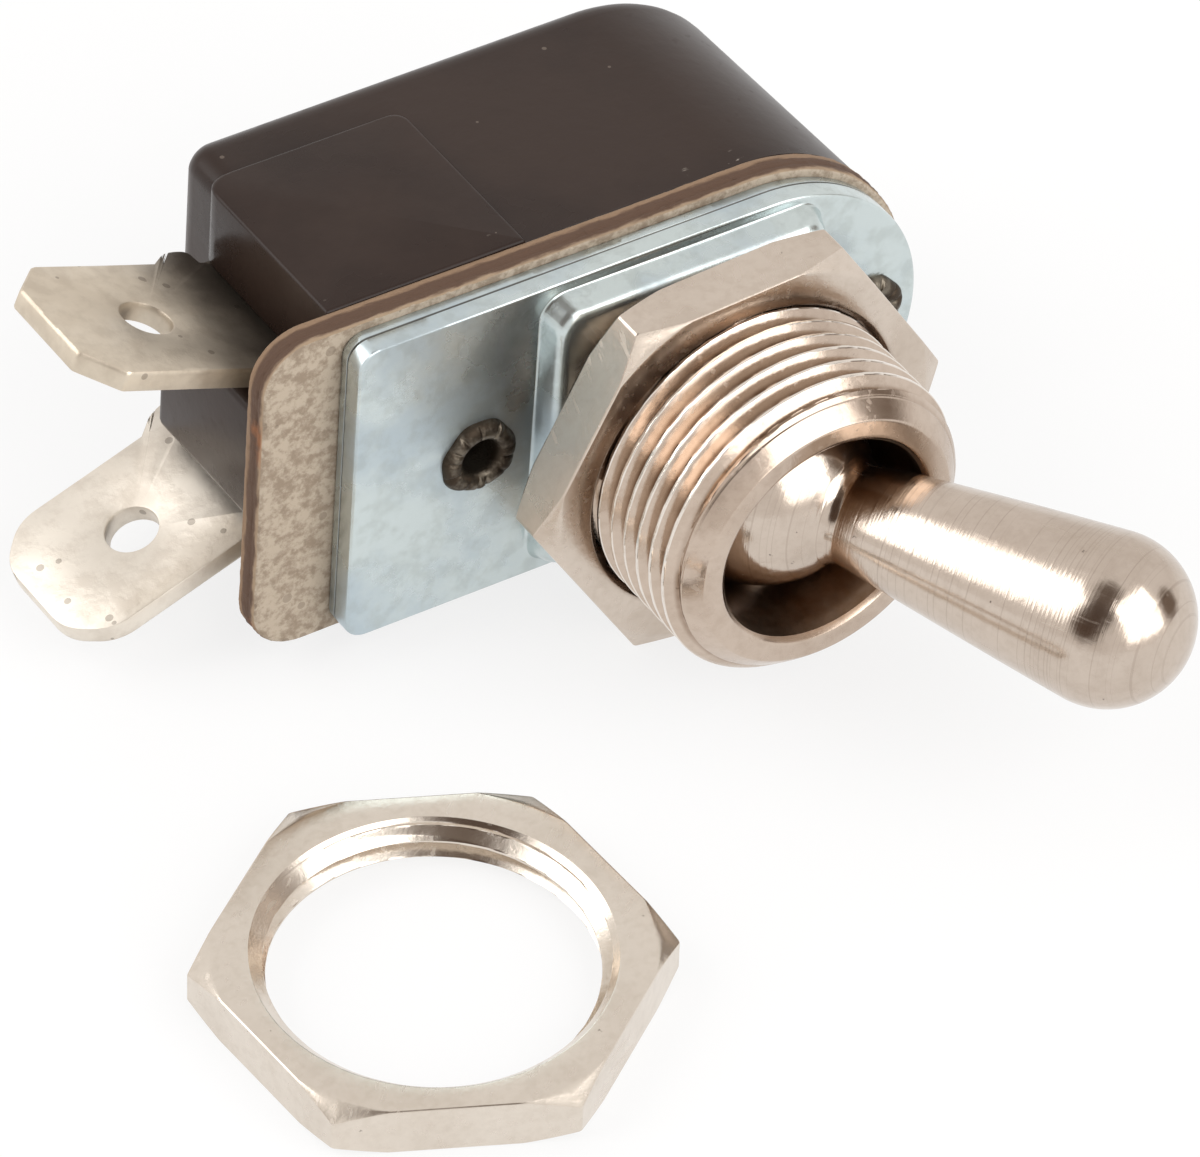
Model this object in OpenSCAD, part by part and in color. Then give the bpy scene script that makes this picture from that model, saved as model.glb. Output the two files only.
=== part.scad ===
// Panel toggle switch: a bat lever on a ball works a rocking contact bridge in a moulded case.
//
// Frame: the barrel's axis is Y and the lever points to -Y. The plane y = 0 is the front face of the
// back nut, where the panel rests. The round end of the case is at +X and the terminals are at -X.
// The switch lies on its long side, so +Z is up.

/* [Barrel] */
// Major diameter of the barrel's thread
thread_d = 11.9; // [11.6:0.1:12.2]
// Pitch of the thread, which is drawn as separate rings
thread_pitch = 0.79; // [0.7:0.01:1]
// Depth of the thread
thread_depth = 0.4; // [0.2:0.02:0.42]
// Distance that the barrel's front ring stands in front of the panel plane
barrel_front = 4.7; // [3.5:0.1:8]
// Bore around the ball
bore_d = 8.1; // [8:0.05:8.4]
// Outer diameter of the flat ring at the front
ring_d = 9.9; // [9.4:0.1:10.6]
// Depth of the relief groove under the back nut
relief_depth = 0.4; // [0.2:0.1:0.6]
// Length of the relief groove
relief_len = 0.7; // [0.6:0.1:1]
// Diameter of the undercut behind the thread
undercut_d = 11.0; // [10.6:0.1:11.4]
// Diameter of the neck that is staked into the plate
neck_d = 10.0; // [9.9:0.05:10.2]

/* [Nuts] */
// Wall of the nuts between the thread and the flats
nut_wall = 1.15; // [0.9:0.05:1.6]
// Thickness of the nuts
nut_thick = 1.75; // [1.3:0.05:2.1]
// Distance between the flats and the flat ring on the chamfered side
nut_ring_inset = 0.1; // [0.05:0.05:0.3]
// Width of the countersink
nut_sink = 0.3; // [0.1:0.05:0.5]
// Turn of the back nut about the barrel
back_nut_turn = 3.45; // [0:0.5:60]
// Place of the loose front nut beside the barrel
front_nut_x = -18.5; // [-40:0.5:-18]
// Place of the loose front nut in front of the back nut
front_nut_y = -10.8; // [-30:0.5:-10]
// Turn of the loose front nut
front_nut_turn = -26; // [-60:0.5:60]

/* [Frame plate and gasket] */
// Space between the back nut and the plate's boss
nut_gap = 2.15; // [0.5:0.05:4]
// Height of the boss
boss_h = 1.0; // [0.6:0.1:1.2]
// Half width of the boss along X at its foot
boss_x = 5.7; // [5.6:0.1:6]
// Half width of the boss along Z at its foot
boss_z = 5.9; // [5.6:0.1:6]
// Sheet thickness of the plate
plate_t = 1.2; // [1:0.05:1.6]
// Half width of the plate
plate_half = 6.33; // [6.2:0.05:6.6]
// Left edge of the plate
plate_left = 12.92; // [11:0.1:14]
// Corner radius of the plate
plate_corner = 0.8; // [0.3:0.1:2]
// Thickness of the gasket
gasket_t = 1.0; // [0.5:0.1:1.5]
// Half width of the gasket
gasket_half = 6.65; // [6.5:0.05:7.2]
// Left edge of the gasket
gasket_left = 15.98; // [15.5:0.1:18]
// Corner radius of the gasket
gasket_corner = 1.9; // [0.5:0.1:3]

/* [Housing] */
// Depth of the case from gasket to back
case_depth = 10.8; // [10.6:0.1:13]
// Half width of the case at the gasket
case_half = 6.52; // [6.3:0.02:6.6]
// Narrowing of the half width from front to back
case_draft = 0.3; // [0.1:0.05:0.4]
// Radius of the rounded edge around the back
case_edge = 1.2; // [0.5:0.1:1.3]
// Radius of the corners at the left end of the case
case_corner = 0.9; // [0.3:0.1:1]
// Left end of the case
case_left = 12.5; // [12.3:0.1:12.8]
// Centre of the round end
round_x = 3.66; // [3.6:0.02:4]
// Left end of the raised pads
pad_left = 12.9; // [12.6:0.1:13.4]
// Right end of the raised pads
pad_right = 4.95; // [3:0.1:8]
// Length of the raised pads from the gasket
pad_depth = 8.0; // [5:0.1:9]
// Corner radius of the pads at their left end
pad_corner = 1.0; // [0.4:0.1:1.5]
// Corner radius of the pads at their right end
pad_corner_right = 0.6; // [0.3:0.1:1.5]
// Half width over the raised pads
pad_half = 6.68; // [6.6:0.02:6.9]
// Left end of the block between the terminals
block_left = 15.0; // [13.5:0.1:15.9]
// Half width of the block between the terminals
block_half = 2.5; // [2:0.05:2.5]
// Length of that block from the gasket
block_depth = 7.0; // [5:0.1:8]
// Thickness of the floor of the case
floor_t = 1.4; // [1:0.1:2]

/* [Terminals] */
// Thickness of the terminals
tab_t = 0.8; // [0.6:0.05:0.85]
// Width of the tabs
tab_w = 6.4; // [5.5:0.1:6.5]
// Length of the tabs outside the case
tab_len = 8.8; // [7.5:0.1:11]
// Splay of each tab away from the middle
tab_splay = 20.5; // [0:0.5:30]
// Distance between the gasket and the tabs
tab_from_gasket = 1.2; // [0.8:0.1:1.6]
// Distance of the tabs' middle planes from the switch's middle plane
tab_z = 3.0; // [2.98:0.01:3.05]
// Diameter of the hole in each tab
tab_hole_d = 1.9; // [1:0.1:3]
// Distance of the hole from the bend
tab_hole_at = 4.7; // [3.5:0.1:6.5]
// Chamfer at the tip of each tab
tab_chamfer = 1.3; // [0.5:0.1:2]

/* [Eyelets] */
// Distance of the eyelets from the barrel's axis
eyelet_x = 7.9; // [7.8:0.05:8.1]
// Diameter of the eyelets' tube
eyelet_d = 2.1; // [1.9:0.05:2.2]
// Diameter of the hole through the eyelets
eyelet_hole_d = 1.4; // [1:0.1:1.6]
// Diameter over the rolled rims
eyelet_rim_d = 2.9; // [2.6:0.1:3.2]

/* [Lever] */
// Tilt of the lever when it is on
lever_tilt = 25; // [15:0.5:25]
// Distance of the ball's centre in front of the panel plane
pivot_front = 0.7; // [0.5:0.05:0.9]
// Diameter of the ball
ball_d = 7.56; // [7.3:0.02:7.7]
// Diameter of the neck beside the ball
lever_neck_d = 3.5; // [3:0.1:3.6]
// Distance from the ball's centre to the centre of the round tip
tip_at = 13.4; // [11:0.1:18]
// Diameter of the round tip
tip_d = 6.4; // [5.5:0.1:7]
// Half taper of the shank
lever_taper = 7.5; // [6:0.1:8]
// Diameter of the hollow tail
tail_d = 3.0; // [2.8:0.05:3.1]
// Length of the tail from the ball's centre
tail_len = 7.6; // [6.8:0.1:7.8]
// Diameter of the cross pin
pin_d = 1.5; // [1.2:0.05:1.6]
// Length of the cross pin
pin_len = 9.3; // [8.9:0.05:9.4]

/* [Plunger and spring] */
// Diameter of the plunger
plunger_d = 2.1; // [1.9:0.05:2.2]
// Distance from the ball's centre to the centre of the plunger's round end
plunger_at = 11.0; // [10.8:0.05:11.1]
// Wire diameter of the spring
wire_d = 0.25; // [0.2:0.01:0.3]
// Number of turns of the spring
spring_turns = 5; // [3:1:6]

/* [Contact bridge] */
// Distance of the rocking pin behind the panel plane
rocker_y = 12.75; // [12.7:0.05:12.8]
// Diameter of the rocking pin
rocker_pin_d = 1.2; // [1:0.05:1.25]
// Ratio of the bridge's rocking to the lever's throw
rocker_ratio = 0.24; // [0.22:0.01:0.25]
// Thickness of the bridge's strip
bridge_t = 0.6; // [0.4:0.05:0.65]
// Diameter of the contact buttons
button_d = 1.5; // [1.2:0.1:1.7]
// Height of the contact buttons
button_h = 0.45; // [0.3:0.05:0.5]
// Distance of the contact buttons from the middle, along X
button_x = 4.3; // [4:0.1:4.5]
// Distance of the contact buttons from the middle, along Z
button_z = 2.0; // [1.95:0.05:2.1]

/* [Hidden] */

$fn = 96;
coarse = 32;

// colours
c_case = "#3a302e";
c_fibre = "#aa9b8c";
c_zinc = "#c8d2d4";
c_nickel = "#c8b9aa";
c_tab = "#e1d7c8";
c_eyelet = "#8a7a6a";
c_plunger = "#e8e0cc";
c_steel = "#b8bcc0";
c_copper = "#b87848";
c_silver = "#dcdcdc";

// fits: radial clearances, and gaps between faces
press = 0;
thread_gap = 0.02;
running = 0.05;
track_gap = 0.1;
contact_gap = 0.05;
slot_gap = 0.05;
stop_gap = 0.16;
hole_gap = 0.05;
over = 0.1;

// planes along Y, from front to back
boss_y = nut_thick + nut_gap;
plate_y = boss_y + boss_h;
gasket_y = plate_y + plate_t;
case_y = gasket_y + gasket_t;
back_y = case_y + case_depth;
floor_y = back_y - floor_t;
tab_y = case_y + tab_from_gasket;

// nuts
nut_flats = thread_d + 2 * nut_wall;
nut_corner_r = nut_flats / 2 / cos(30);

// surface that the switch lies on: it touches the back nut's lower flat and the gasket's round end
rest_roll = back_nut_turn;
rest_drop = nut_flats / 2 - gasket_half - round_x * sin(rest_roll);
rest_pitch = atan(rest_drop / (case_y - nut_thick));

// barrel
thread_r = thread_d / 2;
bore_r = bore_d / 2;
ring_r = ring_d / 2;
chamfer_len = thread_r - ring_r;
bore_chamfer = 0.2;
thread_angle = 60;
thread_back = nut_thick + 0.2;
undercut_r = undercut_d / 2;
neck_r = neck_d / 2;
neck_back = boss_y + plate_t;
stake_h = 0.4;
stake_r = neck_r + 0.15;
flare_from = boss_y - 0.4;
flare_r = neck_r - 0.2;
slot_w = pin_d + 2 * running;
slot_end = pin_len / 2 + hole_gap;

// boss of the plate
boss_inset = 0.4;
boss_corner = 1.0;
boss_wall = 0.5;
hollow_x = boss_x - boss_wall;
hollow_z = boss_z - boss_wall;

// case and its cavity
column_wall = 0.55;
side_wall = 1.42;
cavity_x = eyelet_x - eyelet_d / 2 - column_wall;
cavity_z = case_half - case_draft - side_wall;
cavity_corner = 1.0;
block_bevel = 0.35;
counterbore_d = 3.7;
counterbore_h = 0.7;
edge_steps = 5;
sheet = 0.01;

// lever: distances along it run from the ball's centre, positive to the tip
pivot_y = -pivot_front;
ball_r = ball_d / 2;
lever_neck_r = lever_neck_d / 2;
neck_at = sqrt(pow(ball_r, 2) - pow(lever_neck_r, 2));
tip_r = tip_d / 2;
shank_end = tip_at - tip_r * sin(lever_taper) - 0.6;
shank_r = lever_neck_r + tan(lever_taper) * (shank_end - neck_at);
plunger_r = plunger_d / 2;
tail_bore_r = plunger_r + running;
tail_bore_from = 1.7;
plunger_from = 5.2;
spring_gap = 0.03;
spring_r = tail_bore_r - wire_d / 2 - 0.08;
spring_len = plunger_from - tail_bore_from - wire_d - 2 * spring_gap;
spring_steps = 14;
wire_sides = 8;

// bridge: the plunger's round end runs along an arc in the bridge's own frame. The arc passes
// through the end's place at mid throw (2D point [0, -track_low]) and at full throw (track_end).
rock = lever_tilt * rocker_ratio;
track_low = rocker_y - pivot_y - plunger_at;
end_dx = -plunger_at * sin(lever_tilt);
end_dy = pivot_y + plunger_at * cos(lever_tilt) - rocker_y;
track_end = [
  end_dx * cos(rock) - end_dy * sin(rock),
  end_dx * sin(rock) + end_dy * cos(rock)
];
track_rise = -track_end[1] - track_low;
track_r = (pow(track_end[0], 2) + pow(track_rise, 2)) / (2 * track_rise);
track_centre = track_low + track_r;
strip_in = track_r + plunger_r + track_gap;
strip_out = strip_in + bridge_t;
strip_half = 1.2;
strip_angle = 43;
ear_r = 1.25;
ear_t = 0.5;
ear_reach = track_low - plunger_r - track_gap;
wing_drop = 0.2;
wing_back = strip_back(button_x) + wing_drop;
wing_half = button_z + button_d / 2 + 0.1;
wing_in = button_x - 1.2;
wing_out = button_x + 1.2;
rib_in = 1.9;
rib_out = 3.0;
rib_half = 1.1;
rocker_pin_r = rocker_pin_d / 2;
rib_front = rocker_y - rocker_pin_r - 0.15;

// contacts and feet of the terminals
foot_y = wing_back + 2 * button_h + contact_gap;
foot_in = button_z - button_d / 2 - 0.55;
foot_right = wing_in - 0.2;
tab_bend_x = -pad_left - slot_gap;
tab_back = tab_y + tab_w;
shoulder_len = 1.8;
shoulder_h = 0.7;
ledge_from = 4.2;
ledge_half = 1.8;
ledge_y = strip_back(ledge_from) + stop_gap;

// depth of the strip's back face at x from the middle, on the side that is rocked to the back
function strip_back(x) =
  let (front = track_centre - sqrt(pow(strip_out, 2) - pow(x, 2)))
  rocker_y - front * cos(rock) + x * sin(rock);

// turns a shape drawn with its height along Z so that the height runs along +Y
module along_y(y = 0) {
  translate([0, y, 0]) rotate([-90, 0, 0]) children();
}

// D-shaped outline: straight left end with rounded corners, round right end
module d_outline(half, left, corner) {
  translate([round_x, 0]) circle(r = half);
  translate([-left + corner, -half]) square([left - corner + round_x, 2 * half]);
  translate([-left, -half + corner]) square([2 * corner, 2 * (half - corner)]);
  for (side = [-1, 1]) {
    translate([-left + corner, side * (half - corner)]) circle(r = corner);
  }
}

// rectangle with rounded corners, given by its half widths
module rounded(half_x, half_z, corner) {
  square([2 * half_x, 2 * (half_z - corner)], center = true);
  square([2 * (half_x - corner), 2 * half_z], center = true);
  for (sx = [-1, 1], sz = [-1, 1]) {
    translate([sx * (half_x - corner), sz * (half_z - corner)]) circle(r = corner);
  }
}

// thin slice of the case's outline at depth y, narrowed by inset all round
module case_slice(y, inset) {
  half = case_half - inset;
  corner_x = -case_left + inset + case_corner;
  along_y(y) linear_extrude(height = sheet) {
    translate([round_x, 0]) circle(r = half, $fn = 2 * coarse);
    translate([corner_x, -half]) square([round_x - corner_x, 2 * half]);
    for (side = [-1, 1]) {
      translate([corner_x, side * (half - case_corner)]) circle(r = case_corner, $fn = coarse / 2);
    }
  }
}

// body of the case: straight drafted walls, then a rounded edge around the back
module case_body() {
  hull() {
    case_slice(case_y, 0);
    for (i = [0 : edge_steps]) {
      turn = 90 * i / edge_steps;
      case_slice(back_y - sheet - case_edge * (1 - sin(turn)), case_draft + case_edge * (1 - cos(turn)));
    }
  }
}

// raised pad on one long side, wrapped round the left end as far as the terminal's slot
module pad(side) {
  low = tab_z + tab_t / 2 + slot_gap;
  left = -pad_left + pad_corner;
  right = -pad_right - pad_corner_right;
  back = case_y + pad_depth;
  mirror([0, 0, side < 0 ? 1 : 0]) translate([0, 0, low]) linear_extrude(height = pad_half - low) {
    translate([-pad_left, case_y]) square([pad_left + right, pad_depth - pad_corner]);
    translate([left, case_y]) square([right - left, pad_depth]);
    translate([right, case_y]) square([pad_corner_right, pad_depth - pad_corner_right]);
    translate([left, back - pad_corner]) circle(r = pad_corner);
    translate([right, back - pad_corner_right]) circle(r = pad_corner_right);
  }
}

// block between the terminals, bevelled along its left edges
module middle_block() {
  translate([0, case_y, 0]) rotate([-90, 0, 0]) linear_extrude(height = block_depth) {
    polygon([
      [-case_left + over, -block_half], [-block_left + block_bevel, -block_half],
      [-block_left, -block_half + block_bevel], [-block_left, block_half - block_bevel],
      [-block_left + block_bevel, block_half], [-case_left + over, block_half]
    ]);
  }
}

// one rib of the rocking pin's bearing, with a slot that is open to the front
module rocker_rib(side) {
  low = side > 0 ? rib_in : -rib_out;
  difference() {
    translate([-rib_half, rib_front, low]) cube([2 * rib_half, floor_y + over - rib_front, rib_out - rib_in]);
    translate([0, rocker_y, low - over]) cylinder(r = rocker_pin_r, h = rib_out - rib_in + 2 * over);
    translate([-rocker_pin_r, rib_front - over, low - over]) {
      cube([2 * rocker_pin_r, rocker_y - rib_front + over, rib_out - rib_in + 2 * over]);
    }
  }
}

module housing() {
  slot_t = tab_t + 2 * slot_gap;
  color(c_case) {
    difference() {
      union() {
        case_body();
        pad(1);
        pad(-1);
        middle_block();
      }
      along_y(case_y - over) linear_extrude(height = floor_y - case_y + over) {
        rounded(cavity_x, cavity_z, cavity_corner);
      }
      for (side = [-1, 1]) {
        translate([-block_left - over, case_y - over, side * tab_z - slot_t / 2]) {
          cube([block_left + over - cavity_x + over, tab_back + slot_gap - case_y + over, slot_t]);
        }
        translate([side * eyelet_x, 0, 0]) along_y(case_y - over) {
          cylinder(d = eyelet_d + 2 * hole_gap, h = case_depth + 2 * over);
        }
        translate([side * eyelet_x, 0, 0]) along_y(back_y - counterbore_h) {
          cylinder(d = counterbore_d, h = counterbore_h + over);
        }
      }
    }
    rocker_rib(1);
    rocker_rib(-1);
    translate([ledge_from, ledge_y, -ledge_half]) {
      cube([cavity_x - ledge_from + over, floor_y + over - ledge_y, 2 * ledge_half]);
    }
  }
}

module gasket() {
  color(c_fibre) along_y(gasket_y) linear_extrude(height = gasket_t) difference() {
    d_outline(gasket_half, gasket_left, gasket_corner);
    rounded(hollow_x, tail_d / 2 + 0.7, tail_d / 2);
    for (side = [-1, 1]) {
      translate([side * eyelet_x, 0]) circle(d = eyelet_d + 2 * hole_gap);
    }
  }
}

// boss: sloped walls from its foot to its top
module boss() {
  hull() {
    along_y(boss_y) linear_extrude(height = sheet) {
      rounded(boss_x - boss_inset, boss_z - boss_inset, boss_corner, $fn = coarse);
    }
    along_y(plate_y) linear_extrude(height = sheet) rounded(boss_x, boss_z, boss_corner, $fn = coarse);
  }
}

module frame_plate() {
  color(c_zinc) difference() {
    union() {
      along_y(plate_y) linear_extrude(height = plate_t) d_outline(plate_half, plate_left, plate_corner);
      boss();
    }
    along_y(boss_y - over) cylinder(r = neck_r + press, h = boss_h + plate_t + 2 * over);
    along_y(neck_back) linear_extrude(height = boss_h + over) rounded(hollow_x, hollow_z, boss_corner);
    for (side = [-1, 1]) {
      translate([side * eyelet_x, 0, 0]) along_y(plate_y - over) {
        cylinder(d = eyelet_d + 2 * hole_gap, h = plate_t + 2 * over);
      }
    }
  }
}

// V-shaped grooves, centred between two planes, as points [radius, y]
function thread(from, to) =
  let (
    half = thread_depth * tan(thread_angle / 2),
    count = floor((to - from) / thread_pitch),
    start = (from + to - (count - 1) * thread_pitch) / 2
  )
  [
    for (i = [0 : count - 1], side = [-1, 0, 1])
      [thread_r - (1 - abs(side)) * thread_depth, start + i * thread_pitch + side * half]
  ];

// barrel: thread with a chamfered front, a relief groove under the back nut, an undercut behind it
// and a staked neck.
// The profile is drawn as [radius, y].
module bushing() {
  front_y = chamfer_len - barrel_front;
  profile = concat(
    [[bore_r, bore_chamfer - barrel_front], [bore_r + bore_chamfer, -barrel_front]],
    [[ring_r, -barrel_front], [thread_r, front_y]],
    thread(front_y, 0),
    [[thread_r, 0], [thread_r - relief_depth, 0], [thread_r - relief_depth, relief_len], [thread_r, relief_len]],
    thread(relief_len, thread_back),
    [[thread_r, thread_back], [undercut_r, thread_back], [undercut_r, boss_y], [neck_r, boss_y]],
    [[neck_r, neck_back], [stake_r, neck_back]],
    [[stake_r, neck_back + stake_h], [flare_r, neck_back + stake_h], [bore_r, flare_from]]
  );
  color(c_nickel) difference() {
    rotate([-90, 0, 0]) rotate_extrude() polygon(profile);
    for (side = [-1, 1]) {
      cross_slot(side);
    }
  }
}

// blind slot in the wall of the barrel for one end of the cross pin, open to the back
module cross_slot(side) {
  mirror([0, 0, side < 0 ? 1 : 0]) {
    translate([0, pivot_y, 0]) cylinder(d = slot_w, h = slot_end);
    translate([-slot_w / 2, pivot_y, 0]) cube([slot_w, neck_back + stake_h + over - pivot_y, slot_end]);
  }
}

// hexagon nut with its chamfered and countersunk side at y = 0 and its plain side at +Y
module nut() {
  ring_r = nut_flats / 2 - nut_ring_inset;
  hole_r = thread_r + thread_gap;
  outside_r = nut_corner_r + over;
  rotate([-90, 0, 0]) difference() {
    intersection() {
      cylinder(r = nut_corner_r, h = nut_thick, $fn = 6);
      rotate_extrude() polygon([
        [0, 0], [ring_r, 0], [outside_r, (outside_r - ring_r) * tan(30)], [outside_r, nut_thick], [0, nut_thick]
      ]);
    }
    translate([0, 0, -over]) cylinder(r = hole_r, h = nut_thick + 2 * over);
    cylinder(r1 = hole_r + nut_sink, r2 = hole_r, h = nut_sink);
  }
}

module back_nut() {
  color(c_nickel) rotate([0, -back_nut_turn, 0]) nut();
}

// places a shape that is drawn with z = 0 on the surface that the switch lies on
module on_surface() {
  rotate([0, -rest_roll, 0]) translate([0, nut_thick, -nut_flats / 2]) rotate([rest_pitch, 0, 0]) children();
}

// the loose nut lies flat beside the switch, with its chamfered side up
module front_nut() {
  color(c_nickel) on_surface() translate([front_nut_x, front_nut_y, nut_thick]) {
    rotate([-90, 0, front_nut_turn]) nut();
  }
}

// places a shape that is drawn along the lever, with +Z to its tip, at the lever's tilt
module on_lever() {
  translate([0, pivot_y, 0]) rotate([0, 0, lever_tilt]) rotate([90, 0, 0]) children();
}

module lever() {
  color(c_nickel) on_lever() difference() {
    rotate_extrude() intersection() {
      union() {
        circle(r = ball_r);
        translate([0, tip_at]) circle(r = tip_r);
        polygon([[0, 0], [lever_neck_r, neck_at], [shank_r, shank_end], [0, tip_at]]);
        translate([0, -tail_len]) square([tail_d / 2, tail_len]);
      }
      translate([0, -tail_len - over]) square([ball_r + over, tail_len + tip_at + tip_r + 2 * over]);
    }
    translate([0, 0, -tail_len - over]) cylinder(r = tail_bore_r, h = tail_len + over - tail_bore_from);
    rotate([90, 0, 0]) cylinder(d = pin_d + 2 * press, h = ball_d + 2 * over, center = true);
  }
}

module lever_pin() {
  color(c_steel) translate([0, pivot_y, 0]) cylinder(d = pin_d, h = pin_len, center = true);
}

module plunger() {
  color(c_plunger) on_lever() {
    translate([0, 0, -plunger_at]) cylinder(r = plunger_r, h = plunger_at - plunger_from);
    translate([0, 0, -plunger_at]) sphere(r = plunger_r);
  }
}

// point on the spring's helix for a share of its length from 0 to 1
function coil(share) = [
  spring_r * cos(360 * spring_turns * share),
  spring_r * sin(360 * spring_turns * share),
  -tail_bore_from - spring_gap - wire_d / 2 - spring_len * share
];

// corner of the wire's section: the section is spanned by the outward and the upward direction
function wire_corner(share, turn) =
  let (out = [cos(360 * spring_turns * share), sin(360 * spring_turns * share), 0])
  coil(share) + wire_d / 2 * (cos(turn) * out + [0, 0, sin(turn)]);

module plunger_spring() {
  rings = spring_turns * spring_steps;
  points = [
    for (i = [0 : rings], k = [0 : wire_sides - 1]) wire_corner(i / rings, 360 * k / wire_sides)
  ];
  walls = [
    for (i = [0 : rings - 1], k = [0 : wire_sides - 1])
      let (next = (k + 1) % wire_sides)
      [i * wire_sides + k, i * wire_sides + next, (i + 1) * wire_sides + next, (i + 1) * wire_sides + k]
  ];
  first = [[for (k = [wire_sides - 1 : -1 : 0]) k]];
  last = [[for (k = [0 : wire_sides - 1]) rings * wire_sides + k]];
  color(c_steel) on_lever() polyhedron(points, concat(walls, first, last));
}

// places the shapes that are drawn about the rocking pin with the lever at mid throw
module on_rocker() {
  translate([0, rocker_y, 0]) rotate([0, 0, -rock]) children();
}

// strip: a band of a ring about the track's centre, cut to the strip's angle on both sides
module strip() {
  reach = 2 * strip_out;
  translate([0, -track_centre, -strip_half]) linear_extrude(height = 2 * strip_half) intersection() {
    difference() {
      circle(r = strip_out);
      circle(r = strip_in);
    }
    polygon([[0, 0], [-reach * sin(strip_angle), reach * cos(strip_angle)],
      [reach * sin(strip_angle), reach * cos(strip_angle)]]);
  }
}

module contact_bridge() {
  color(c_copper) difference() {
    union() {
      on_rocker() strip();
      for (side = [-1, 1]) {
        low = side > 0 ? strip_half - over : -strip_half - ear_t;
        translate([0, rocker_y, low]) cylinder(r = ear_r, h = ear_t + over);
        translate([-ear_r, rocker_y - ear_reach, low]) cube([2 * ear_r, ear_reach, ear_t + over]);
        wing(side);
      }
    }
    translate([0, rocker_y, -wing_half]) cylinder(r = rocker_pin_r + running, h = 2 * wing_half);
  }
}

// wing beside the left end of the strip that carries one contact button
module wing(side) {
  low = strip_half - 2 * over;
  mirror([0, 0, side < 0 ? 1 : 0]) translate([-wing_out, wing_back - bridge_t, low]) {
    cube([wing_out - wing_in, bridge_t, wing_half - low]);
  }
}

module rocker_pin() {
  color(c_steel) translate([0, rocker_y, 0]) cylinder(r = rocker_pin_r, h = 2 * rib_out, center = true);
}

// contact button whose back face is at y
module button(y, side) {
  translate([-button_x, 0, side * button_z]) along_y(y) cylinder(d = button_d, h = button_h);
}

module bridge_contact(side) {
  color(c_silver) button(wing_back, side);
}

module fixed_contact(side) {
  color(c_silver) button(foot_y - button_h, side);
}

// outline of a tab in its own plane: x runs outward from the bend, y across the tab
module tab_outline() {
  difference() {
    union() {
      polygon([
        [0, 0], [tab_len - tab_chamfer, 0], [tab_len, tab_chamfer], [tab_len, tab_w - tab_chamfer],
        [tab_len - tab_chamfer, tab_w], [0, tab_w]
      ]);
      translate([0, tab_w - over]) square([shoulder_len - shoulder_h, shoulder_h + over]);
      translate([shoulder_len - shoulder_h, tab_w]) circle(r = shoulder_h);
    }
    translate([tab_hole_at, tab_w / 2]) circle(d = tab_hole_d);
  }
}

// terminal: splayed tab, straight blade through the case, and a foot under the bridge
module terminal(side) {
  color(c_tab) mirror([0, 0, side < 0 ? 1 : 0]) translate([0, 0, tab_z]) {
    translate([tab_bend_x, tab_y, 0]) rotate([0, tab_splay, 0]) mirror([1, 0, 0]) {
      translate([0, 0, -tab_t / 2]) linear_extrude(height = tab_t) tab_outline();
    }
    translate([tab_bend_x, 0, 0]) along_y(tab_y) cylinder(d = tab_t, h = tab_w);
    translate([tab_bend_x, tab_y, -tab_t / 2]) cube([-tab_bend_x - cavity_x, tab_w, tab_t]);
    translate([tab_bend_x, foot_y, -tab_t / 2]) cube([-tab_bend_x - foot_right, tab_back - foot_y, tab_t]);
    translate([-wing_out, foot_y, foot_in - tab_z]) cube([wing_out - foot_right, tab_t, tab_z - foot_in]);
  }
}

// eyelet: tube with a rolled rim in front of the plate and a flared one in the counterbore
module eyelet(side) {
  tube_r = eyelet_d / 2;
  hole_r = eyelet_hole_d / 2;
  rim_r = eyelet_rim_d / 2;
  roll_r = (rim_r - hole_r) / 2;
  back = back_y - counterbore_h;
  color(c_eyelet) translate([side * eyelet_x, 0, 0]) rotate([-90, 0, 0]) rotate_extrude() {
    translate([hole_r, plate_y - roll_r]) square([tube_r - hole_r, back - plate_y + 2 * roll_r]);
    for (end = [[plate_y, -1], [back, 1]]) {
      intersection() {
        translate([hole_r + roll_r, end[0]]) circle(r = roll_r);
        translate([hole_r, min(end[0], end[0] + 2 * end[1] * roll_r)]) square([2 * roll_r, 2 * roll_r]);
      }
    }
  }
}

module bridge_contact_upper() {
  bridge_contact(1);
}

module bridge_contact_lower() {
  bridge_contact(-1);
}

module terminal_upper() {
  terminal(1);
}

module terminal_lower() {
  terminal(-1);
}

module fixed_contact_upper() {
  fixed_contact(1);
}

module fixed_contact_lower() {
  fixed_contact(-1);
}

module eyelet_left() {
  eyelet(-1);
}

module eyelet_right() {
  eyelet(1);
}

housing();
gasket();
frame_plate();
bushing();
back_nut();
front_nut();
lever();
lever_pin();
plunger();
plunger_spring();
contact_bridge();
rocker_pin();
bridge_contact_upper();
bridge_contact_lower();
terminal_upper();
terminal_lower();
fixed_contact_upper();
fixed_contact_lower();
eyelet_left();
eyelet_right();
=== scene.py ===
# %% [markdown]
# # A panel toggle switch
# A bat-handled lever turns on a ball inside a threaded barrel, and the barrel is staked into a
# zinc-plated frame. Behind the frame are a fibre gasket and a black moulded case with two splayed
# tabs. A spare hexagon nut lies in front of it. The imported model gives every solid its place, and
# this lesson builds the visible surfaces round it with arrays of points, then paints them.

# %% Load the frame
import math

import bpy
import numpy as np
from mathutils import Matrix, Vector


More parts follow.
